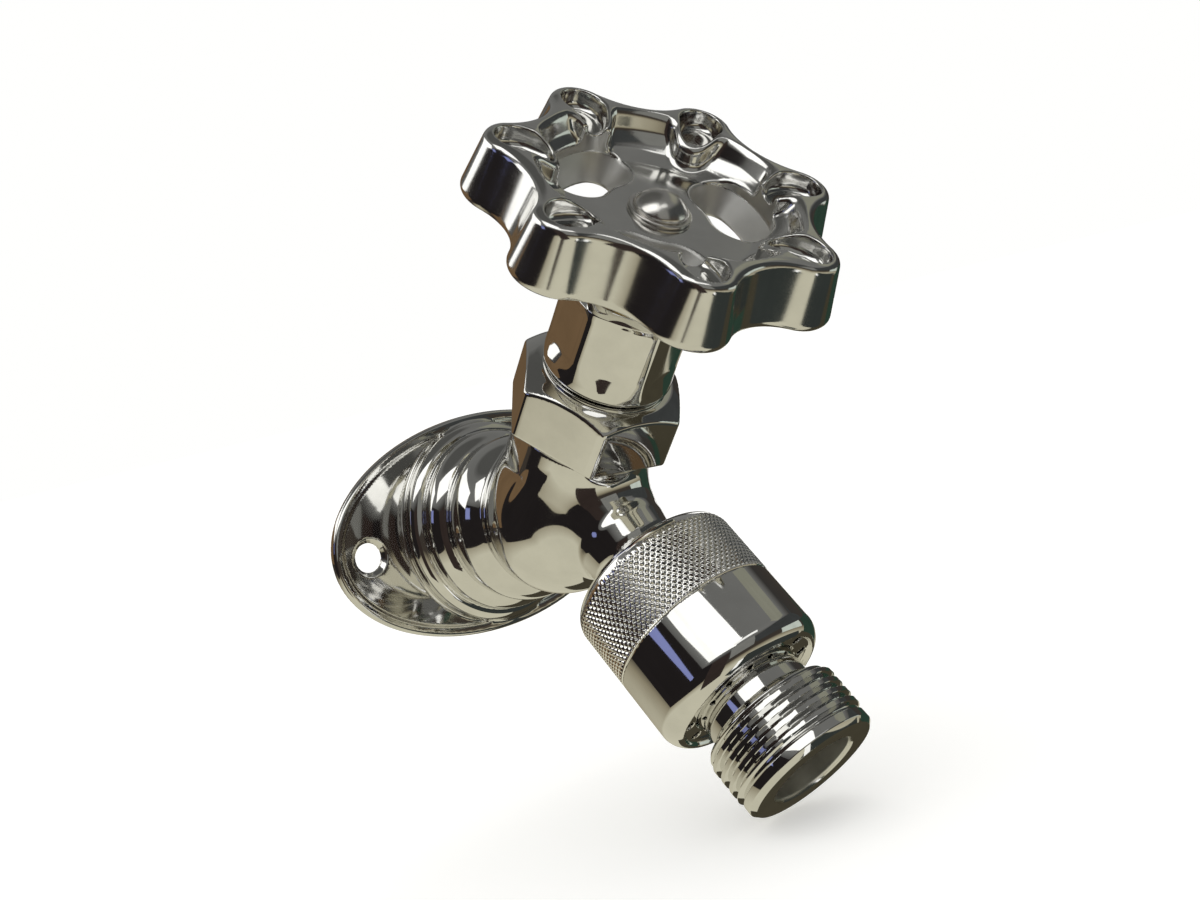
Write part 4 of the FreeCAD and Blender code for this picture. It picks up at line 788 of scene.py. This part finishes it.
def shell_field(x, y, z):
    """Band with a rounded bottom corner, a dished bottom face and a ring of vents in it."""
    across = np.hypot(x, y)
    bowl = disc_through((BREAKER, SHELL_FOOT - CROWN_DROP), (BOTTOM_RADIUS, SHELL_FOOT),
                        CORNER_BEND)
    shape = common(across - BREAKER, slab(z, COLLAR_FOOT, SHELL_FOOT), 0.15)
    corner = np.hypot(across - bowl.x, z - bowl.y) - CORNER_BEND
    past = (across > bowl.x) & (z > bowl.y)
    shape = np.where(past, np.maximum(shape, corner), shape)
    shape = np.minimum(shape, rod(across, z, SHELL_LAP, COLLAR_FOOT - 2.2, 42.0, 0.2))
    shape = carved(shape, rod(across, z, SHELL_BORE, 30.0, SHELL_FLOOR, 0.3), 0.2)
    dish = common(across - RECESS_RADIUS - (z - FACE) * 0.5, FACE - z, 0.4)
    shape = carved(shape, dish, 0.35)
    mouth = across - SHELL_MOUTH - np.maximum(z - FACE + 0.6, 0)
    shape = carved(shape, mouth * 0.8, 0.1)
    along, aside, _ = folded(x, y, VENTS, VENT_TURN)
    vent = np.hypot(along - VENT_PLACE, aside) - VENT_RADIUS
    return carved(shape, vent, 0.15)


def build_shell():
    reach = BREAKER + 0.6
    shell = carve_piece("breaker_band", shell_field, (-reach, -reach, COLLAR_FOOT - 2.8),
                        (reach, reach, SHELL_FOOT + 0.6), SHELL_CELL, OUTLET)
    put(shell, "valve", "breaker_shell", turned_chrome)


NECK, BORE = 10.3, 8.0
NIPPLE_TOP, CLIP_START, SEAL_START, SEAL_END, SEAL_DEPTH = 50.6, 51.5, 52.9, 54.1, 1.0
CLIP_DEPTH, NECK_PLAY = 1.05, 0.1
THREAD_START, RING_START, NIPPLE_END = 60.5, 70.0, 73.0
RING_RADIUS, RING_CORNER = 13.1, 12.2


def threaded(radius, height, turn):
    """Raises the ridge of the hose thread round the nipple."""
    root = HOSE_CREST - HOSE_DEPTH
    phase = (height - THREAD_START) / HOSE_PITCH - turn / (2 * math.pi)
    fade = between(height, THREAD_START, THREAD_START + 1.2)
    fade = fade * between(RING_START - height, 0, 0.8)
    raised = HOSE_DEPTH * thread_height(phase) * fade
    on_thread = (radius > root - 0.05) & (height > THREAD_START) & (height < RING_START)
    return np.where(on_thread, root + raised, radius), height


def build_nipple():
    root = HOSE_CREST - HOSE_DEPTH
    rows = int(120 / FINE)
    top, clip, seal = NECK - NECK_PLAY, NECK - CLIP_DEPTH, NECK - SEAL_DEPTH
    corners = [(BORE, NIPPLE_TOP), (top, NIPPLE_TOP), (top, CLIP_START), (clip, CLIP_START),
               (clip, SHELL_FLOOR), (NECK, SHELL_FLOOR), (NECK, SEAL_START), (seal, SEAL_START),
               (seal, SEAL_END), (NECK, SEAL_END), (NECK, THREAD_START - 1.05, 0.5)]
    for row in range(rows + 1):
        corners.append((root, THREAD_START + (RING_START - THREAD_START) * row / rows))
    corners += [(RING_RADIUS, RING_START + 0.45, 0.15), (RING_RADIUS, NIPPLE_END - 0.9, 0.3),
                (RING_CORNER, NIPPLE_END, 0.2), (BORE + 0.6, NIPPLE_END, 0.1),
                (BORE, NIPPLE_END - 0.6, 0.1)]
    nipple = lathe("outlet_threaded_nipple", OUTLET, corners, 288, threaded)
    mark_satin(nipple, OUTLET, lambda x, y, z: np.hypot(x, y) < BORE + 0.3)
    put(nipple, "valve", "outlet_nipple", turned_chrome)


# Room, light and camera

HEART = Vector((0, -0.045, 0.01))       # middle of the room that the chrome reflects
ROOM_RADIUS = 1.6


def screen(red, green, blue):
    """A colour as it looks on screen, 0 to 255, as the light that gives it."""
    return tuple((part / 255) ** 2.2 for part in (red, green, blue))


def glow(name, colour, strength, speckle=0.12):
    """Even light with a slight cloudiness, for what the chrome reflects."""
    material = bpy.data.materials.new(name)
    material.use_nodes = True
    nodes, links = material.node_tree.nodes, material.node_tree.links
    nodes.clear()
    cloud = noise(nodes, links, 4, 3)
    darker = tuple(part * (1 - speckle) for part in colour)
    lamp = nodes.new("ShaderNodeEmission")
    lamp.inputs["Strength"].default_value = strength
    links.new(graded(nodes, links, cloud, 0.35, 0.65, darker, colour), lamp.inputs["Color"])
    out = nodes.new("ShaderNodeOutputMaterial")
    links.new(lamp.outputs["Emission"], out.inputs["Surface"])
    return material


def stage_mesh(name, points, faces, material):
    """Plain mesh that belongs to the studio and not to the part."""
    mesh = bpy.data.meshes.new(name)
    mesh.from_pydata(points, [], faces)
    mesh.materials.append(material)
    made = bpy.data.objects.new(name, mesh)
    bpy.context.scene.collection.objects.link(made)
    return made


def only_reflected(made):
    """The studio's cards are seen in the chrome and nowhere else."""
    made.visible_camera = False
    made.visible_diffuse = False
    made.visible_shadow = False
    made.visible_transmission = False
    made.visible_volume_scatter = False


def towards(azimuth, elevation):
    """Direction from azimuth, 0 to the front and 90 to the right, and elevation in degrees."""
    turn, rise = math.radians(azimuth), math.radians(elevation)
    level = math.cos(rise)
    return Vector((math.sin(turn) * level, -math.cos(turn) * level, math.sin(rise)))


def card(name, azimuth, elevation, wide, tall, colour, strength=1.0, away=1.2):
    """Reflected card round the object, its size in degrees as the object sees it."""
    forward = towards(azimuth, elevation)
    right = Vector((0, 0, 1)).cross(forward).normalized()
    up = forward.cross(right)
    half_wide = away * math.tan(math.radians(wide / 2))
    half_tall = away * math.tan(math.radians(tall / 2))
    middle = HEART + forward * away
    points = [middle + right * half_wide * i + up * half_tall * j
              for i, j in ((-1, -1), (1, -1), (1, 1), (-1, 1))]
    material = glow(name + "_light", screen(*colour), strength)
    only_reflected(stage_mesh(name, points, [(0, 1, 2, 3)], material))


# Elevation in degrees and colour. These colours and the cards' were set from measured
# colours: maps that traced the photograph's pixels back along the reflected rays, lifted for
# the chrome's own colour. No map is kept here
ROOM_LEVELS = [
    (-90, (206, 202, 180)), (-30, (206, 202, 180)), (-16, (150, 142, 120)), (-10, (66, 60, 54)),
    (22, (60, 58, 56)), (32, (118, 118, 116)), (58, (112, 112, 110)), (66, (84, 84, 82)),
]


def build_room():
    """Dome whose colour goes from a beige floor over a dark middle to a grey ceiling."""
    material = bpy.data.materials.new("room_light")
    material.use_nodes = True
    nodes, links = material.node_tree.nodes, material.node_tree.links
    nodes.clear()
    where = nodes.new("ShaderNodeTexCoord")
    parts = nodes.new("ShaderNodeSeparateXYZ")
    links.new(where.outputs["Generated"], parts.inputs["Vector"])
    ramp = nodes.new("ShaderNodeValToRGB")
    stops = ramp.color_ramp.elements
    for number, (level, colour) in enumerate(ROOM_LEVELS):
        place = (math.sin(math.radians(level)) + 1) / 2
        stop = stops.new(place) if number else stops[0]
        stop.position = place
        stop.color = (*screen(*colour), 1)
    stops.remove(stops[-1])
    links.new(parts.outputs["Z"], ramp.inputs["Fac"])
    lamp = nodes.new("ShaderNodeEmission")
    links.new(ramp.outputs["Color"], lamp.inputs["Color"])
    out = nodes.new("ShaderNodeOutputMaterial")
    links.new(lamp.outputs["Emission"], out.inputs["Surface"])
    rings, sides = 24, 48
    points = [HEART + towards(360 * side / sides, 180 * ring / rings - 90) * ROOM_RADIUS
              for ring in range(rings + 1) for side in range(sides)]
    faces = [(ring * sides + side, ring * sides + (side + 1) % sides,
              (ring + 1) * sides + (side + 1) % sides, (ring + 1) * sides + side)
             for ring in range(rings) for side in range(sides)]
    only_reflected(stage_mesh("room", points, faces, material))


def build_cards():
    """Cards by azimuth, elevation, width, height, colour, strength and distance.

    Their places and colours rest on the same maps of the photograph as ROOM_LEVELS.
    """
    white = (255, 255, 252)
    card("brown_wall_left", -165, 11, 60, 26, (116, 94, 70))
    card("dark_wall_left", -100, 4, 84, 46, (40, 37, 37))
    card("violet_screen", -102, 18, 13, 12, (140, 148, 205), 1.0, 1.1)
    card("dark_stand", -46, -8, 30, 58, (58, 50, 47), 1.0, 1.1)
    card("grey_wall_front", -12, 14, 34, 30, (130, 130, 126))
    card("dark_wall_right", 48, 15, 84, 26, (66, 68, 68))
    card("pale_wall_right", 60, -6, 34, 15, (205, 214, 204), 1.0, 1.1)
    card("green_wall_right", 98, -12, 34, 28, (50, 68, 58), 1.0, 1.1)
    card("dark_floor_right", 36, -43, 66, 34, (58, 62, 60))
    card("olive_floor_right", 108, -46, 60, 40, (72, 68, 56))
    card("floor_glint", -4, -37, 6, 16, white, 1.3, 1.1)
    card("window_left", -138, 36, 52, 22, white, 1.5, 1.1)
    card("window_front", -52, 48, 48, 26, white, 1.5, 1.1)
    card("window_small", -6, 41, 34, 9, white, 1.2, 1.1)
    card("window_right", 127, 4, 7, 40, white, 1.3, 1.1)
    card("brown_wall_right", 168, 12, 40, 26, (108, 88, 66))
    card("green_grey_right", 76, 38, 40, 14, (142, 142, 128))


def lit_by_path(nodes, links, everyday, white):
    """White where the camera sees it directly, and the everyday shader otherwise.

    Glossy and transmission rays are switched too, but the metal never shows this white: the
    room stands before the world, and build_floor hides the floor from glossy rays.
    """
    path = nodes.new("ShaderNodeLightPath")
    first = nodes.new("ShaderNodeMath")
    first.operation = "MAXIMUM"
    second = nodes.new("ShaderNodeMath")
    second.operation = "MAXIMUM"
    links.new(path.outputs["Is Camera Ray"], first.inputs[0])
    links.new(path.outputs["Is Glossy Ray"], first.inputs[1])
    links.new(first.outputs["Value"], second.inputs[0])
    links.new(path.outputs["Is Transmission Ray"], second.inputs[1])
    mix = nodes.new("ShaderNodeMixShader")
    links.new(second.outputs["Value"], mix.inputs["Fac"])
    links.new(everyday, mix.inputs[1])
    links.new(white, mix.inputs[2])
    return mix.outputs["Shader"]


def build_floor():
    """Plain pale floor just under the nipple; it keeps the object's shadow."""
    material = bpy.data.materials.new("floor_paper")
    material.use_nodes = True
    nodes, links = material.node_tree.nodes, material.node_tree.links
    nodes.clear()
    paper = nodes.new("ShaderNodeBsdfDiffuse")
    grain = noise(nodes, links, 30, 3)
    links.new(graded(nodes, links, grain, 0.2, 0.8, (0.79, 0.79, 0.78), (0.81, 0.81, 0.80)),
              paper.inputs["Color"])
    lift = nodes.new("ShaderNodeEmission")
    lift.inputs["Color"].default_value = (1, 1, 0.99, 1)
    lift.inputs["Strength"].default_value = 0.36
    lifted = nodes.new("ShaderNodeAddShader")
    links.new(paper.outputs["BSDF"], lifted.inputs[0])
    links.new(lift.outputs["Emission"], lifted.inputs[1])
    out = nodes.new("ShaderNodeOutputMaterial")
    shown = lit_by_path(nodes, links, paper.outputs["BSDF"], lifted.outputs["Shader"])
    links.new(shown, out.inputs["Surface"])
    level = cad_low.z - 0.0005
    reach = 30.0
    points = [(-reach, -reach, level), (reach, -reach, level), (reach, reach, level),
              (-reach, reach, level)]
    floor = stage_mesh("floor", points, [(0, 1, 2, 3)], material)
    floor.visible_glossy = False


# Right, down and ahead of the camera, solved from the photographed outlines
CAMERA_TURN = Matrix(((0.75081, -0.61674, -0.23646), (-0.22368, 0.09944, -0.96958),
                      (0.62149, 0.78086, -0.06329)))
CAMERA_PLACE = Vector((-173.197, -260.388, 28.411)) * MM


def build_camera():
    data = bpy.data.cameras.new("camera")
    data.sensor_width = 36.0
    data.lens = 45.04
    data.clip_start = 0.01
    data.clip_end = 50
    camera = bpy.data.objects.new("camera", data)
    right, down, ahead = CAMERA_TURN
    turn = Matrix((right, -down, -ahead)).transposed()
    camera.matrix_world = Matrix.Translation(CAMERA_PLACE) @ turn.to_4x4()
    bpy.context.scene.collection.objects.link(camera)
    bpy.context.scene.camera = camera


def build_world():
    """Even light from all round, white where it is seen."""
    world = bpy.data.worlds.new("studio")
    world.use_nodes = True
    nodes, links = world.node_tree.nodes, world.node_tree.links
    nodes.clear()
    soft = nodes.new("ShaderNodeBackground")
    soft.inputs["Color"].default_value = (1, 0.995, 0.98, 1)
    soft.inputs["Strength"].default_value = 0.95
    white = nodes.new("ShaderNodeBackground")
    white.inputs["Color"].default_value = (1, 1, 0.99, 1)
    out = nodes.new("ShaderNodeOutputWorld")
    shown = lit_by_path(nodes, links, soft.outputs["Background"], white.outputs["Background"])
    links.new(shown, out.inputs["Surface"])
    bpy.context.scene.world = world


dress_cad_nodes()
build_body()
build_bonnet()
build_packing_nut()
build_handle()
build_collar()
build_shell()
build_nipple()
build_floor()
build_room()
build_cards()
build_camera()
build_world()
bpy.context.scene.view_settings.view_transform = "Standard"
